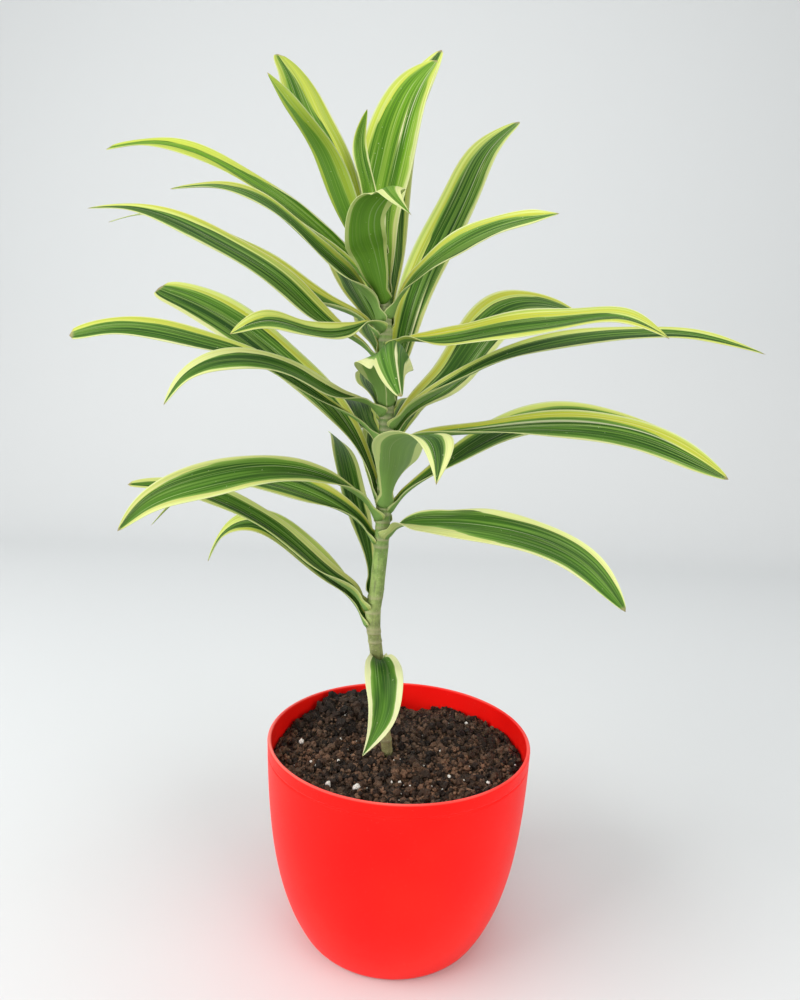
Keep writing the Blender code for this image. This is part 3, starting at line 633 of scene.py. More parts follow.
def stripe_group():
    """Inputs: a leaf's own colours. Outputs: its colour, its roughness and the height of its veins.

    The margin is where the distance from the nearer edge, as a share of the blade's width, is less
    than that margin's width, after both have been moved a little by noise. The margin's second colour
    is painted shade: the margin as it looks in shade, mixed in over random patches.
    """
    tree = bpy.data.node_groups.new("leaf stripes", "ShaderNodeTree")
    for name in ("Deep", "Fresh", "Streak", "Margin", "Margin shade", "Underside"):
        tree.interface.new_socket(name, in_out="INPUT", socket_type="NodeSocketColor")
    for name, kind in (("Colour", "Color"), ("Roughness", "Float"), ("Height", "Float")):
        tree.interface.new_socket(name, in_out="OUTPUT", socket_type="NodeSocket" + kind)
    given = tree.nodes.new("NodeGroupInput").outputs
    deep, fresh, streak, underside = (given[n] for n in ("Deep", "Fresh", "Streak", "Underside"))
    across, along, seed = parts(tree, stored(tree, "place"))
    upside, left_margin, right_margin = parts(tree, stored(tree, "facts"))
    band_place, band_half, white = parts(tree, stored(tree, "marks"))
    away = calc(tree, "ABSOLUTE", across)

    def streaks(wide, long, shift, detail=2.0):
        """Noise that changes wide times across the blade and long times along it."""
        x = calc(tree, "MULTIPLY", across, wide)
        y = calc(tree, "MULTIPLY", along, long)
        spot = add(tree, "ShaderNodeCombineXYZ", {0: x, 1: y, 2: calc(tree, "ADD", seed, shift)})
        return clouds(tree, spot.outputs[0], 1.0, detail)

    broad = streaks(1.6, 2.0, 0.0)
    bands = streaks(3.6, 1.0, 3.0)
    lines = streaks(10.0, 1.2, 7.0)
    hairs = streaks(27.0, 1.8, 11.0)
    wander = streaks(0.7, 4.0, 17.0)
    thread = streaks(11.0, 0.6, 23.0, 0.0)

    wobble = calc(tree, "MULTIPLY", calc(tree, "SUBTRACT", wander, 0.5), 0.16)
    wobble = calc(tree, "MULTIPLY_ADD", calc(tree, "SUBTRACT", lines, 0.5), 0.07, wobble)
    middle = calc(tree, "ADD", wobble, 0.5)
    inside = [calc(tree, "SUBTRACT", calc(tree, "MULTIPLY_ADD", across, side, middle), own)
              for side, own in ((0.5, left_margin), (-0.5, right_margin))]
    over = calc(tree, "MINIMUM", *inside)
    off_band = calc(tree, "ABSOLUTE", calc(tree, "SUBTRACT", across, band_place))
    off_band = calc(tree, "ADD", off_band, calc(tree, "MULTIPLY", wobble, 2.0))
    in_band = step(tree, calc(tree, "SUBTRACT", off_band, band_half), 0.02, -0.04)
    margin = calc(tree, "MAXIMUM", step(tree, over, 0.008, -0.008), in_band)

    green = blend(tree, step(tree, broad, 0.36, 0.64), deep, fresh)
    calm = calc(tree, "MULTIPLY_ADD", white, -0.9, 1.0)
    for noise, low, high, share, second in (
        (bands, 0.49, 0.56, 0.60, fresh),
        (bands, 0.45, 0.38, 0.65, deep),
        (lines, 0.53, 0.59, 0.44, streak),
        (lines, 0.47, 0.41, 0.65, deep),
        (hairs, 0.55, 0.61, 0.28, streak),
        (hairs, 0.45, 0.39, 0.30, deep),
        (hairs, 0.64, 0.67, 0.28, EDGE_LINE),
    ):
        green = lay(tree, green, second, calc(tree, "MULTIPLY", calm, share), noise, low, high)
    halo = calc(tree, "MULTIPLY", step(tree, bands, 0.44, 0.56), 0.7)
    green = lay(tree, green, streak, halo, over, 0.085, 0.0)
    past_base = calc(tree, "MULTIPLY", step(tree, along, 0.05, 0.2), 0.55)
    green = lay(tree, green, EDGE_LINE, past_base, thread, 0.79, 0.82)
    green = lay(tree, green, streak, 0.25, away, 0.03, 0.0)

    # Painted shade: the margin colour and its darker copy in shade, mixed in random patches.
    pale = blend(tree, step(tree, bands, 0.38, 0.64), given["Margin"], given["Margin shade"])
    # Mustard painted shade on the margins, growing towards the leaf's base.
    pale = lay(tree, pale, PAINTED_SHADE_MUSTARD, 0.36, along, 0.40, 0.05)
    pale = lay(tree, pale, streak, 0.40, lines, 0.52, 0.60)
    pale = lay(tree, pale, EDGE_LINE, 0.30, hairs, 0.52, 0.66)
    change = calc(tree, "SUBTRACT", right_margin, left_margin)
    own = calc(tree, "MULTIPLY_ADD", step(tree, across, -0.01, 0.01), change, left_margin)
    narrow, rim = step(tree, own, 0.14, 0.07), step(tree, away, 0.90, 0.97)
    cream = white
    for part, share in ((narrow, 0.55), (rim, 0.6), (in_band, 0.8)):
        cream = calc(tree, "MAXIMUM", cream, calc(tree, "MULTIPLY", part, share))
    pale = blend(tree, cream, pale, EDGE_LINE)

    below = calc(tree, "SUBTRACT", 1.0, upside)
    green = blend(tree, calc(tree, "MULTIPLY", below, 0.72), green, underside)
    pale = blend(tree, calc(tree, "MULTIPLY", below, 0.40), pale, underside)
    colour = blend(tree, margin, green, pale)
    speck = clouds(tree, position(tree), 900.0, 1.0)
    colour = lay(tree, colour, EDGE_LINE, 0.5, speck, 0.77, 0.80)
    veins = calc(tree, "MULTIPLY_ADD", hairs, 0.4, calc(tree, "MULTIPLY", lines, 0.6))
    fill(tree, tree.nodes.new("NodeGroupOutput"), {
        "Colour": blend(tree, step(tree, along, 0.98, 1.0), colour, DRY_TIP),
        "Roughness": calc(tree, "MULTIPLY_ADD", hairs, 0.16, 0.38),
        "Height": veins,
    })
    return tree


STRIPES = stripe_group()

# %% Leaf materials
BLADE_GLOW = 0.30
GLOW_TINT = (0.75, 0.80, 0.10)
BLADE_SHINE = 0.14
VEIN_HEIGHT = 0.00012


def leaf_material(name, **colours):
    """Stripes on a satin blade, with a little of the light behind it shining through."""
    material, tree, shader = paint(name)
    inputs = {socket.replace("_", " ").capitalize(): (*c, 1.0) for socket, c in colours.items()}
    stripes = add(tree, "ShaderNodeGroup", inputs, node_tree=STRIPES).outputs
    fill(tree, shader, {
        "Base Color": stripes["Colour"],
        "Roughness": stripes["Roughness"],
        "Specular IOR Level": BLADE_SHINE,
        "Normal": raised(tree, stripes["Height"], VEIN_HEIGHT, 0.8),
    })
    through = blend(tree, 0.35, stripes["Colour"], GLOW_TINT, "MULTIPLY")
    glow = add(tree, "ShaderNodeBsdfTranslucent", {"Color": through}).outputs[0]
    both = add(tree, "ShaderNodeMixShader", {0: BLADE_GLOW, 1: shader.outputs[0], 2: glow})
    tree.links.new(both.outputs[0], tree.nodes["Material Output"].inputs["Surface"])
    return material


# Each leaf material gives its margin a second colour, the margin as it looks in shade: painted shade.
OLD_LEAF = leaf_material(
    "leaf blade",
    deep=(0.023, 0.077, 0.010),
    fresh=(0.084, 0.224, 0.020),
    streak=(0.29, 0.48, 0.09),
    margin=(0.70, 0.78, 0.20),
    margin_shade=(0.57, 0.60, 0.06),
    underside=(0.27, 0.46, 0.12),
)
YOUNG_LEAF = leaf_material(
    "young leaf blade",
    deep=(0.050, 0.165, 0.005),
    fresh=(0.150, 0.355, 0.012),
    streak=(0.38, 0.56, 0.08),
    margin=(0.60, 0.68, 0.08),
    margin_shade=(0.44, 0.54, 0.04),
    underside=(0.13, 0.29, 0.035),
)
FIRST_YOUNG_LEAF = 32

# %% All the blades
draw = np.random.default_rng(11)
longest = 0
for number, item in enumerate(LEAVES, start=1):
    points, share, across, length = blade_rings(item)
    faces = ring_faces(len(share), BLADE_AROUND)
    young = number >= FIRST_YOUNG_LEAF
    slot, material = ("young_leaf", YOUNG_LEAF) if young else ("leaf", OLD_LEAF)
    blade = new_piece(f"blade_{number:02d}", points, faces, material)
    for name, values in blade_facts(item, share, across, draw).items():
        keep_numbers(blade, name, values)
    blade_map(blade, len(share))
    seat(blade, slot, f"leaf_{number:02d}")
    longest = max(longest, length)
print("each blade has", len(blade.data.polygons), "triangles, the longest is", round(longest), "mm")

# %% [markdown]
# ## The cane
#
# The cane is woody and grey-brown where it is old and green under the young leaves. Every leaf that
# ever grew on it left a ring, a low ridge with a sharp lower side, so the older part looks jointed.
# A tube along the cane's line has the right form, and its radius then gets a narrow ridge under each
# leaf, older scars where leaves have dropped, fine lengthwise wrinkles and a little unevenness, all
# as formulas of height and angle.

# %% The cane's surface
CANE_AROUND = 56
CANE_STEP = 0.45
OLD_SCARS = (101.5, 107, 113.5, 119, 126.5, 133, 141, 156, 161)
NEW_SCARS = [item["level"] - 2.0 for item in LEAVES]
SCAR_HEIGHT = 0.30
WRINKLE_HEIGHT = 0.035


def ridge(level, scar):
    """A ring that rises over 2 mm from above and drops within 0.6 mm below it."""
    off = level - scar
    return np.where(off > 0, np.exp(-(off / 1.3) ** 2), np.exp(-(off / 0.4) ** 2))


def cane_points(draw):
    """Circles about the cane's line whose radius is its own plus ridges, wrinkles and lumps."""
    low, high = CANE_LINE[0][1], CANE_LINE[-1][1]
    level = np.arange(low, high, CANE_STEP)
    angle = np.linspace(0, 2 * math.pi, CANE_AROUND, endpoint=False)
    radius = np.repeat(cane_radius(level)[:, None], CANE_AROUND, axis=1) - 0.08
    for item, scar in zip(LEAVES, NEW_SCARS):
        toward = 0.5 + 0.5 * np.cos(angle - math.radians(item["heading"]))
        radius += SCAR_HEIGHT * 0.8 * ridge(level, scar)[:, None] * (0.4 + 0.6 * toward)
    for scar in OLD_SCARS:
        slope = draw.uniform(0, 2 * math.pi)
        tilted = scar + 0.5 * np.cos(angle - slope)
        radius += SCAR_HEIGHT * ridge(level[:, None], tilted[None])
    for waves in (9, 14, 23):
        drift = draw.uniform(0, 2 * math.pi) + 0.05 * level[:, None] * draw.uniform(-1, 1)
        fade = np.cos(level[:, None] / draw.uniform(5, 11))
        radius += WRINKLE_HEIGHT * np.cos(waves * angle + drift) * fade
    x = cane_centre(level)[:, None] + radius * np.cos(angle)
    rings = np.stack([x, radius * np.sin(angle), level[:, None] + 0 * x], axis=-1)
    top, bottom = (cane_centre(high), 0, high + 0.8), (cane_centre(low), 0, low)
    return np.concatenate([[bottom], rings.reshape(-1, 3), [top]]), len(level)


# %% Bark
BARK_TONES = (
    ((0.160, 0.150, 0.060), (0.290, 0.290, 0.115)),
    ((0.150, 0.250, 0.045), (0.290, 0.420, 0.100)),
    ((0.075, 0.160, 0.022), (0.170, 0.290, 0.055)),
)


def bark_material():
    """Olive-grey wood, greener towards the top, paler in the scars, with pale pores."""
    material, tree, shader = paint("cane bark")
    where = position(tree)
    level = parts(tree, where)[2]
    stretched = add(tree, "ShaderNodeMapping", {"Vector": where, "Scale": (900, 900, 130)})
    grain = clouds(tree, stretched.outputs[0], 1.0, 4.0, 0.6)
    pores = clouds(tree, where, 1500.0, 1.0)
    patchy = step(tree, clouds(tree, where, 140.0, 3.0, 0.6), 0.35, 0.65)
    wood, young, crown = (blend(tree, patchy, dark, light) for dark, light in BARK_TONES)
    colour = blend(tree, step(tree, level, 0.120, 0.210), wood, young)
    colour = blend(tree, step(tree, level, 0.195, 0.225), colour, crown)
    colour = lay(tree, colour, (0.080, 0.075, 0.035), 0.5, grain, 0.5, 0.3)
    colour = lay(tree, colour, (0.48, 0.46, 0.30), 0.6, pores, 0.66, 0.72)
    scarred = calc(tree, "MULTIPLY", stored(tree, "ridge", "Fac"), 0.55)
    fill(tree, shader, {
        "Base Color": blend(tree, scarred, colour, (0.36, 0.33, 0.19)),
        "Roughness": calc(tree, "MULTIPLY_ADD", grain, 0.25, 0.5),
        "Normal": raised(tree, calc(tree, "ADD", grain, pores), 0.00015),
    })
    return material


cane_xyz, cane_rows = cane_points(np.random.default_rng(5))
cane = new_piece("cane", cane_xyz, ring_faces(cane_rows, CANE_AROUND), bark_material())
near_scar = sum(ridge(cane_xyz[:, 2], scar) for scar in (*NEW_SCARS, *OLD_SCARS))
keep_numbers(cane, "ridge", np.clip(near_scar, 0, 1))
seat(cane, "cane", "stem")
print("cane of", len(cane.data.polygons), "triangles")

# %% [markdown]
# ## The pot's outline
#
# The pot is a turned form: one outline carried round an axis. Its outer wall is a single smooth
# curve from a rounded heel to the rim, with a shallow groove moulded in below the lip. The inner
# wall runs the wall's thickness inside it. Both come from a cubic Bezier curve whose four points are
# real sizes, and the rounded lip is half a circle.

# %% The pot's sizes
POT_HEIGHT = 105.6
POT_RIM_RADIUS = 69.5
POT_FOOT_RADIUS = 46.6
POT_FOOT_CORNER = (48.34, 0.0)
POT_HEEL = (50.7, 4.1)
POT_WALL_HANDLES = ((63.7, 26.7), (68.4, 56.1))
POT_WALL = 2.0
POT_FLOOR = 2.4
POT_FLOOR_CORNER = 4.0
POT_GROOVE_LEVEL = 99.0
POT_GROOVE_DEPTH = 0.3
POT_GROOVE_WIDTH = 0.55
POT_AROUND = 288


def pot_wall(steps):
    """The Bezier curve (1-t)^3 A + 3 (1-t)^2 t B + 3 (1-t) t^2 C + t^3 D as (radius, height)."""
    t = np.linspace(0, 1, steps)[:, None]
    a, d = np.array(POT_HEEL), np.array((POT_RIM_RADIUS, POT_HEIGHT))
    b, c = np.array(POT_WALL_HANDLES[0]), np.array(POT_WALL_HANDLES[1])
    return (1 - t) ** 3 * a + 3 * (1 - t) ** 2 * t * b + 3 * (1 - t) * t**2 * c + t**3 * d


def wall_radius(level):
    curve = pot_wall(90)
    return np.interp(level, curve[:, 1], curve[:, 0])


def cavity_radius(level):
    """The inner wall, rounded into the floor."""
    corner = POT_FLOOR_CORNER
    below = np.clip(POT_FLOOR + corner - np.asarray(level, float), 0, corner)
    return wall_radius(level) - POT_WALL - (corner - np.sqrt(corner**2 - below**2))


def turned(outline, around):
    """Circles at each (radius, height) of the outline, closed on the axis at both ends."""
    angle = np.linspace(0, 2 * math.pi, around, endpoint=False)
    radius, level = np.asarray(outline, float).T
    x, y = radius[:, None] * np.cos(angle), radius[:, None] * np.sin(angle)
    rings = np.stack([x, y, level[:, None] + 0 * x], axis=-1)
    ends = [[(0, 0, level[0])], rings.reshape(-1, 3), [(0, 0, level[-1])]]
    return np.concatenate(ends), len(outline)


def pot_outline():
    """Foot, heel, outer wall with its groove, lip, inner wall and floor, in that order."""
    t = np.linspace(0, 1, 10)[:, None]
    foot, corner, end = np.array([(POT_FOOT_RADIUS, 0.0), POT_FOOT_CORNER, POT_HEEL])
    heel = (1 - t) ** 2 * foot + 2 * (1 - t) * t * corner + t**2 * end
    flat = [(radius, 0.0) for radius in (12, 30, 44)]
    near_groove = np.linspace(97, 101, 25)
    level = np.concatenate([np.linspace(6, 96, 40), near_groove, np.linspace(101.6, 104.3, 5)])
    groove = POT_GROOVE_DEPTH * np.exp(-((level - POT_GROOVE_LEVEL) / POT_GROOVE_WIDTH) ** 2)
    outer = np.stack([wall_radius(level) - groove, level], axis=1)
    lip = POT_WALL / 2
    turn = np.linspace(0, math.pi, 13)
    middle = POT_RIM_RADIUS - lip
    mouth = np.stack([middle + lip * np.cos(turn), POT_HEIGHT - lip + lip * np.sin(turn)], axis=1)
    down = np.concatenate([np.linspace(103, 8, 30), np.linspace(6.4, POT_FLOOR, 8)])
    inner = np.stack([cavity_radius(down), down], axis=1)
    floor = [(radius, POT_FLOOR) for radius in (40, 20)]
    return np.concatenate([flat, heel, outer, mouth, inner, floor])


# %% Red plastic
POT_RED = ((0.90, 0.0050, 0.0035), (0.94, 0.012, 0.006))
POT_SHINE = 0.12


def plastic_material():
    """Strong red, semi-gloss, faintly uneven in tone and with the soft ripple of moulded plastic."""
    material, tree, shader = paint("red plastic")
    where = position(tree)
    tone = clouds(tree, where, 14.0)
    grain = clouds(tree, where, 900.0)
    dust = clouds(tree, where, 2600.0, 1.0)
    ripple = clouds(tree, where, 60.0, 1.0)
    colour = blend(tree, step(tree, tone, 0.3, 0.7), *POT_RED)
    colour = lay(tree, colour, (0.9, 0.45, 0.40), 0.35, dust, 0.76, 0.80)
    # A painted highlight, lighter and pinker, in patches along the top of the lip.
    painted_lip_highlight = calc(tree, "MULTIPLY", step(tree, tone, 0.2, 0.7), 0.50)
    level = parts(tree, where)[2]
    fill(tree, shader, {
        "Base Color": lay(tree, colour, (0.98, 0.36, 0.30), painted_lip_highlight, level, 0.1048, 0.1056),
        "Roughness": calc(tree, "MULTIPLY_ADD", grain, 0.10, 0.36),
        "Specular IOR Level": POT_SHINE,
        "Normal": raised(tree, calc(tree, "MULTIPLY_ADD", grain, 0.05, ripple), 0.0004, 0.35),
    })
    return material


pot_xyz, pot_rows = turned(pot_outline(), POT_AROUND)
pot = new_piece("red_pot", pot_xyz, ring_faces(pot_rows, POT_AROUND), plastic_material())
seat(pot, "pot_plastic", "pot")
print("pot of", len(pot.data.polygons), "triangles,", 2 * POT_RIM_RADIUS, "mm across the rim")

# %% [markdown]
# ## The bed of soil
#
# Potting soil is a heap of crumbs of peat and bark, with white grains of perlite. It could be one
# bumpy surface, but from a step away the crumbs throw shadows and stand up against the pot's wall. So
# it is two things: a closed bed with a bumpy top that fills the pot, and loose crumbs lying half sunk
# in it. The bed is built from rings again, up the hole that the cane stands in, out to the wall, down
# the wall and under.

# %% The bed
SOIL_LEVEL = 94.0
HEAP_HEIGHT = 9.0
HEAP_PLACE = (-30.0, 44.0)
HEAP_SPREAD = 21.0
DIP_DEPTH = 4.5
DIP_PLACE = (9.0, 62.0)
DIP_SPREAD = 13.0
SWELL_HEIGHT = 0.7
LUMPS = ((900, 2.6, 0.9), (1500, 1.3, 0.5))
LUMPS_SUNK = 0.7
MOUTH_LEVEL = 95
HOLE_RADIUS = 3.8
HOLE_FLOOR = 59.6
SOIL_AROUND = 240
SOIL_ROWS = 110
SOIL_GAP = 0.35


def soil_height(x, y):
    """A level bed, a round heap at the back left, a dip behind the cane, and crossing low waves."""
    off = ((x - HEAP_PLACE[0]) ** 2 + (y - HEAP_PLACE[1]) ** 2) / HEAP_SPREAD**2
    hollow = ((x - DIP_PLACE[0]) ** 2 + (y - DIP_PLACE[1]) ** 2) / DIP_SPREAD**2
    draw = np.random.default_rng(7)
    swell = np.zeros_like(x)
    for spacing in (19.0, 13.0, 9.0):
        for bearing in draw.uniform(0, 2 * math.pi, 3):
            along = x * math.cos(bearing) + y * math.sin(bearing)
            swell += np.cos(2 * math.pi * along / spacing + draw.uniform(0, 2 * math.pi))
    heap = HEAP_HEIGHT * np.exp(-off) - DIP_DEPTH * np.exp(-hollow)
    return SOIL_LEVEL + heap + SWELL_HEIGHT * swell / 3


def lumps(x, y, draw, count, radius, height):
    """The tallest of many little domes, height * sqrt(1 - distance^2 / radius^2), at each point."""
    spots = draw.uniform(-68, 68, (count, 2))
    sizes = radius * draw.uniform(0.6, 1.3, count)
    tallest = np.zeros_like(x)
    for spot, size in zip(spots, sizes):
        near = 1 - ((x - spot[0]) ** 2 + (y - spot[1]) ** 2) / size**2
        tallest = np.maximum(tallest, height * size / radius * np.sqrt(np.maximum(near, 0)))
    return tallest


def soil_bed(draw):
    """Rings up the cane's hole, over the bumpy top to the pot's wall, down the wall and under."""
    angle = np.linspace(0, 2 * math.pi, SOIL_AROUND, endpoint=False)
    ring = np.stack([np.cos(angle), np.sin(angle)], axis=1)

    def circle(radius, level, centre=0.0):
        place = np.array([centre, 0.0]) + radius * ring
        return np.concatenate([place, 0 * ring[:, :1] + level], axis=1)

    mouth = np.array([cane_centre(MOUTH_LEVEL), 0.0]) + HOLE_RADIUS * ring
    edge = (cavity_radius(SOIL_LEVEL - DIP_DEPTH) - SOIL_GAP) * ring
    share = np.linspace(0, 1, SOIL_ROWS)[:, None, None] ** 0.8
    top = (1 - share) * mouth + share * edge
    x, y = top[..., 0], top[..., 1]
    level = soil_height(x, y)
    for count, radius, height in LUMPS:
        level = level + lumps(x, y, draw, count, radius, height)
    top = np.concatenate([top, (level - LUMPS_SUNK)[..., None]], axis=-1)
    hole = [circle(HOLE_RADIUS, z, cane_centre(z)) for z in (HOLE_FLOOR, 78.0)]
    down = ((76, 0), (55, 0), (32, 0), (15, 0), (6.4, 0), (3.6, SOIL_GAP), (POT_FLOOR, SOIL_GAP))
    wall = [circle(cavity_radius(z) - SOIL_GAP, z + lift) for z, lift in down]
    rings = np.concatenate([hole, top, wall])
    first, last = (cane_centre(60), 0, HOLE_FLOOR), (0, 0, POT_FLOOR + SOIL_GAP)
    return np.concatenate([[first], rings.reshape(-1, 3), [last]]), len(rings)


# %% Loose crumbs
def ball_faces():
    """The 12 corners and 20 faces of an icosahedron, and the same cut once into 80 faces."""
    golden = (1 + math.sqrt(5)) / 2
    corners = [(-1, golden, 0), (1, golden, 0), (-1, -golden, 0), (1, -golden, 0), (0, -1, golden),
               (0, 1, golden), (0, -1, -golden), (0, 1, -golden), (golden, 0, -1), (golden, 0, 1),
               (-golden, 0, -1), (-golden, 0, 1)]
    faces = [(0, 11, 5), (0, 5, 1), (0, 1, 7), (0, 7, 10), (0, 10, 11), (1, 5, 9), (5, 11, 4),
             (11, 10, 2), (10, 7, 6), (7, 1, 8), (3, 9, 4), (3, 4, 2), (3, 2, 6), (3, 6, 8),
             (3, 8, 9), (4, 9, 5), (2, 4, 11), (6, 2, 10), (8, 6, 7), (9, 8, 1)]
    coarse = np.array(corners, float) / math.hypot(1, golden)
    points, halves, finer = list(coarse), {}, []

    def half(a, b):
        """The point between two corners, made once for both faces that share the edge."""
        key = (min(a, b), max(a, b))
        if key not in halves:
            halves[key] = len(points)
            points.append(unit(points[a] + points[b]))
        return halves[key]

    for a, b, c in faces:
        ab, bc, ca = half(a, b), half(b, c), half(c, a)
        finer += [(a, ab, ca), (b, bc, ab), (c, ca, bc), (ab, bc, ca)]
    return (coarse, np.array(faces)), (np.array(points), np.array(finer))


SMALL_BALL, ROUND_BALL = ball_faces()
WALL_ROOM = 0.6


def strewn(draw, count, reach=64.5):
    """Places spread evenly over a round bed."""
    bearing = draw.uniform(0, 2 * math.pi, count)
    out = reach * np.sqrt(draw.uniform(0, 1, count))
    return out * np.cos(bearing), out * np.sin(bearing)


def gathered(draw, count, middle, spread):
    """Places crowded about a middle."""
    return [centre + spread * draw.normal(0, 1, count) for centre in middle]


def scatter(draw, places, low, high, ball, knobbly, sunk, power=1.0, darker=1.0):
    """Rough balls at places on the bed, as points, faces and a tone for each point.

    Each is the ball times its own size, squeezed a little along three axes, with its corners pushed
    in and out at random, turned about Z, and sunk by a share of its size. None reaches the wall.
    """
    shape, faces = ball
    x, y = np.array(places, float)
    size = low + (high - low) * draw.uniform(0, 1, len(x)) ** power
    out = np.maximum(np.hypot(x, y), 1e-6)
    inward = np.minimum(1, (cavity_radius(MOUTH_LEVEL) - WALL_ROOM - 0.6 * size) / out)
    x, y = x * inward, y * inward
    keep = np.hypot(x - cane_centre(MOUTH_LEVEL), y) > HOLE_RADIUS + size / 2 - 0.5
    size, x, y = size[keep], x[keep], y[keep]
    count = len(size)
    z = soil_height(x, y) + size / 2 * (1 - 2 * sunk)
    rough = 1 + knobbly * draw.uniform(-1, 1, (count, len(shape), 1))
    squeeze = draw.uniform(0.75, 1.15, (count, 1, 3))
    turn = draw.uniform(0, 2 * math.pi, (count, 1))
    across, deep, tall = np.moveaxis(shape * rough * squeeze * size[:, None, None] / 2, -1, 0)
    cos, sin = np.cos(turn), np.sin(turn)
    grain = np.stack([across * cos - deep * sin, across * sin + deep * cos, tall], axis=-1)
    points = grain + np.stack([x, y, z], axis=1)[:, None]
    faces = faces + np.arange(count)[:, None, None] * len(shape)
    tone = np.repeat(darker * draw.uniform(0, 1, count), len(shape))
    return points.reshape(-1, 3), faces.reshape(-1, 3), tone


def together(*groups):
    """Several groups of points, faces and tones as one."""
    points, faces, tones = zip(*groups)
    starts = np.cumsum([0] + [len(part) for part in points])
    faces = [part + start for part, start in zip(faces, starts)]
    return np.concatenate(points), np.concatenate(faces), np.concatenate(tones)


# %% Soil materials
SOIL_SHINE = 0.25


def soil_material():
    """Nearly black to reddish-brown crumbs, each with its own tone, a little moist in patches."""
    material, tree, shader = paint("potting soil")
    where = position(tree)
    tone = calc(tree, "POWER", stored(tree, "tone", "Fac"), 1.8)
    patches = clouds(tree, where, 70.0)
    grain = clouds(tree, where, 1100.0, 3.0, 0.65)
    dark = blend(tree, tone, (0.0070, 0.0037, 0.0022), (0.190, 0.112, 0.070))
    warm = blend(tree, tone, (0.0115, 0.0056, 0.0030), (0.270, 0.142, 0.082))
    warmth = calc(tree, "MULTIPLY_ADD", parts(tree, where)[1], -2.5, patches)
    colour = blend(tree, step(tree, warmth, 0.40, 0.68), dark, warm)
    # Painted highlights where the grain bump stands highest.
    colour = lay(tree, colour, (0.20, 0.14, 0.10), 0.5, grain, 0.60, 0.72)
    fill(tree, shader, {
        # Near-black painted shade where the grain bump is lowest.
        "Base Color": lay(tree, colour, (0.003, 0.002, 0.0015), 0.7, grain, 0.46, 0.34),
        "Roughness": calc(tree, "MULTIPLY_ADD", patches, 0.5, 0.30),
        "Specular IOR Level": SOIL_SHINE,
        "Normal": raised(tree, grain, 0.0008),
    })
    return material


def perlite_material():
    """Chalky white grains, grey with painted shade in their pits."""
    material, tree, shader = paint("perlite")
    pits = clouds(tree, position(tree), 1600.0, 3.0, 0.6)
    fill(tree, shader, {
        # Grey painted shade where the pits of the bump lie low.
        "Base Color": blend(tree, step(tree, pits, 0.42, 0.58), (0.58, 0.55, 0.50), (0.90, 0.88, 0.84)),
        "Roughness": 0.8,
        "Normal": raised(tree, pits, 0.0003),
    })
    return material


# %% All the soil
# The three biggest grains come first.
PERLITE_PLACES = (
    (-20, -38), (-34, -37), (-53, 5), (-32, 9), (-31, -13), (-3, -31), (1, -30), (-45, -16),
    (29, 37), (40, 38), (23, 2), (-2, -11), (26, -24), (-42, -18), (45, -30),
)
draw = np.random.default_rng(23)
bed_xyz, bed_rows = soil_bed(draw)
SOIL = soil_material()
bed = new_piece("soil_bed", bed_xyz, ring_faces(bed_rows, SOIL_AROUND)[:, ::-1], SOIL)
keep_numbers(bed, "tone", draw.uniform(0, 1, len(bed_xyz)) ** 1.5)
seat(bed, "potting_soil", "soil")
*lumpy, tones = together(
    scatter(draw, gathered(draw, 60, HEAP_PLACE, 14.0), 4.5, 7.5, ROUND_BALL, 0.36, 0.36, darker=0.4),
    scatter(draw, strewn(draw, 50), 4.2, 6.2, ROUND_BALL, 0.34, 0.48, power=1.6, darker=0.5),
    scatter(draw, strewn(draw, 460), 2.6, 4.6, ROUND_BALL, 0.36, 0.30, power=1.6, darker=0.85),
    scatter(draw, strewn(draw, 1200), 1.5, 2.8, ROUND_BALL, 0.32, 0.18),
    scatter(draw, strewn(draw, 2850, 66), 0.7, 1.7, SMALL_BALL, 0.25, 0.05),
)
crumbs = new_piece("soil_crumbs", *lumpy, SOIL)
crumbs.data.shade_flat()
keep_numbers(crumbs, "tone", tones)
seat(crumbs, "potting_soil")
*grainy, tones = together(
    scatter(draw, np.transpose(PERLITE_PLACES[:3]), 3.0, 3.6, ROUND_BALL, 0.24, 0.05),
    scatter(draw, np.transpose(PERLITE_PLACES[3:]), 1.4, 2.0, ROUND_BALL, 0.20, -0.15),
    scatter(draw, strewn(draw, 60), 0.5, 1.1, SMALL_BALL, 0.2, -0.3),
)
perlite = new_piece("perlite_grains", *grainy, perlite_material())
seat(perlite, "potting_soil")
for piece in (bed, crumbs, perlite):
    print(piece.name, "has", len(piece.data.polygons), "triangles")

# %% [markdown]
# ## A pale stage and soft light
#
# The plant is shown on a plain pale floor that sweeps up behind it, with daylight from a big soft
# source at the left, as from a window, a weaker one from the right, and light from above and all
# round so that no leaf turns black. The floor is part of the stage, not of the object.

# %% Stage
SWEEP_START = 0.9
SWEEP_RADIUS = 0.5
STAGE_HALF = 12.0
STAGE_TOP = 3.5


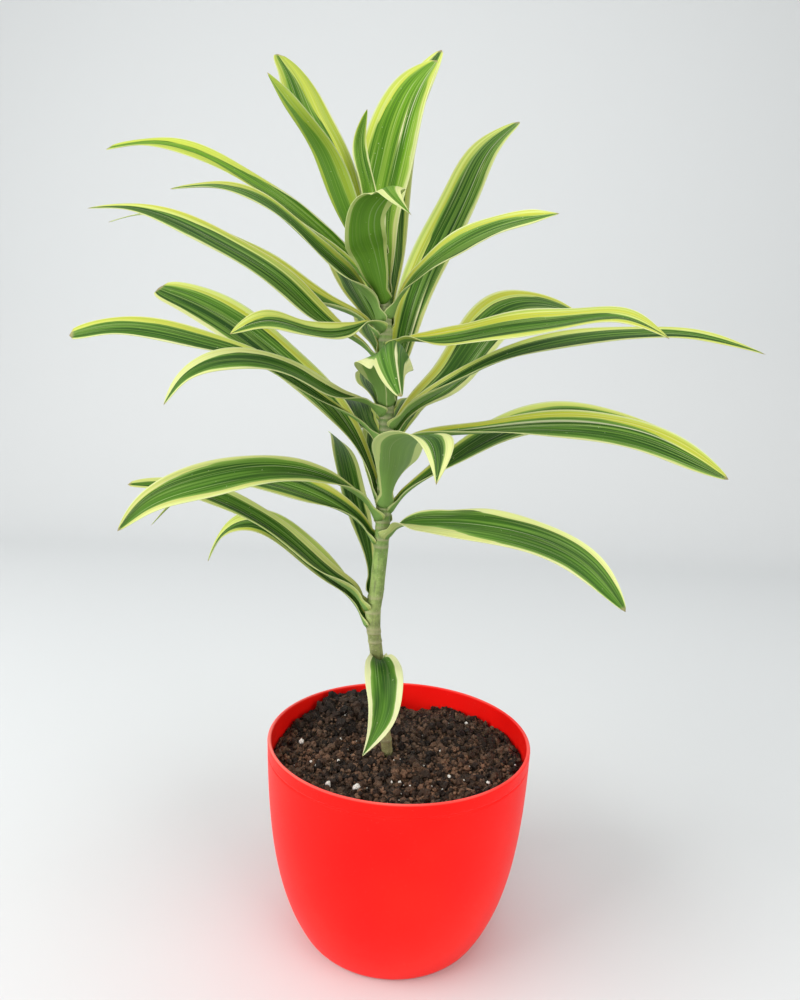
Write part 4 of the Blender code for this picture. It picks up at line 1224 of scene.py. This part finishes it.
def stage_points():
    """A floor, then a quarter circle, then a wall, carried straight from left to right."""
    turn = np.linspace(0, math.pi / 2, 24)[1:]
    sweep = zip(SWEEP_START + SWEEP_RADIUS * np.sin(turn), SWEEP_RADIUS * (1 - np.cos(turn)))
    wall = (SWEEP_START + SWEEP_RADIUS, STAGE_TOP)
    outline = np.array([(-STAGE_HALF, 0.0), (SWEEP_START, 0.0), *sweep, wall])
    across = np.array([-STAGE_HALF, STAGE_HALF])
    y, z = outline[:, :1] + 0 * across, outline[:, 1:] + 0 * across
    return np.stack([across + 0 * y, y, z - 0.0001], axis=-1)


grid = stage_points()
corner = np.arange(len(grid) - 1)[:, None] * 2 + np.array([0, 1, 3, 2])
mesh = bpy.data.meshes.new("stage")
mesh.from_pydata(grid.reshape(-1, 3).tolist(), [], corner.tolist())
material, tree, shader = paint("pale stage")
fill(tree, shader, {"Base Color": (0.635, 0.66, 0.675, 1.0), "Roughness": 0.7})
mesh.materials.append(material)
mesh.shade_smooth()
stage = bpy.data.objects.new("stage", mesh)
bpy.context.scene.collection.objects.link(stage)
print("stage", 2 * STAGE_HALF, "m wide")

# %% Light
MIDDLE = Vector((0.0, 0.0, 0.25))
# Name, place, side in metres, power in watts, colour.
PANELS = (
    ("window", (-1.25, -0.55, 0.85), 1.1, 22.0, (1.0, 0.985, 0.96)),
    ("room", (1.3, -1.1, 0.9), 1.4, 14.0, (1.0, 0.97, 0.93)),
    ("front", (-0.3, -1.7, 0.25), 1.3, 6.0, (1.0, 0.99, 0.97)),
    ("ceiling", (0.1, -0.1, 1.7), 1.2, 9.0, (1.0, 1.0, 1.0)),
)
for name, place, side, power, colour in PANELS:
    lamp = bpy.data.lights.new(name, "AREA")
    lamp.size, lamp.energy, lamp.color = side, power, colour
    panel = bpy.data.objects.new(name, lamp)
    panel.location = place
    panel.rotation_euler = (MIDDLE - Vector(place)).to_track_quat("-Z", "Y").to_euler()
    bpy.context.scene.collection.objects.link(panel)
world = bpy.context.scene.world or bpy.data.worlds.new("world")
bpy.context.scene.world = world
world.use_nodes = True
sky = world.node_tree.nodes["Background"]
fill(world.node_tree, sky, {"Color": (1.0, 0.985, 0.96, 1.0), "Strength": 0.6})
bpy.context.scene.view_settings.view_transform = "Standard"
print(len(PANELS), "soft lights and a pale sky")
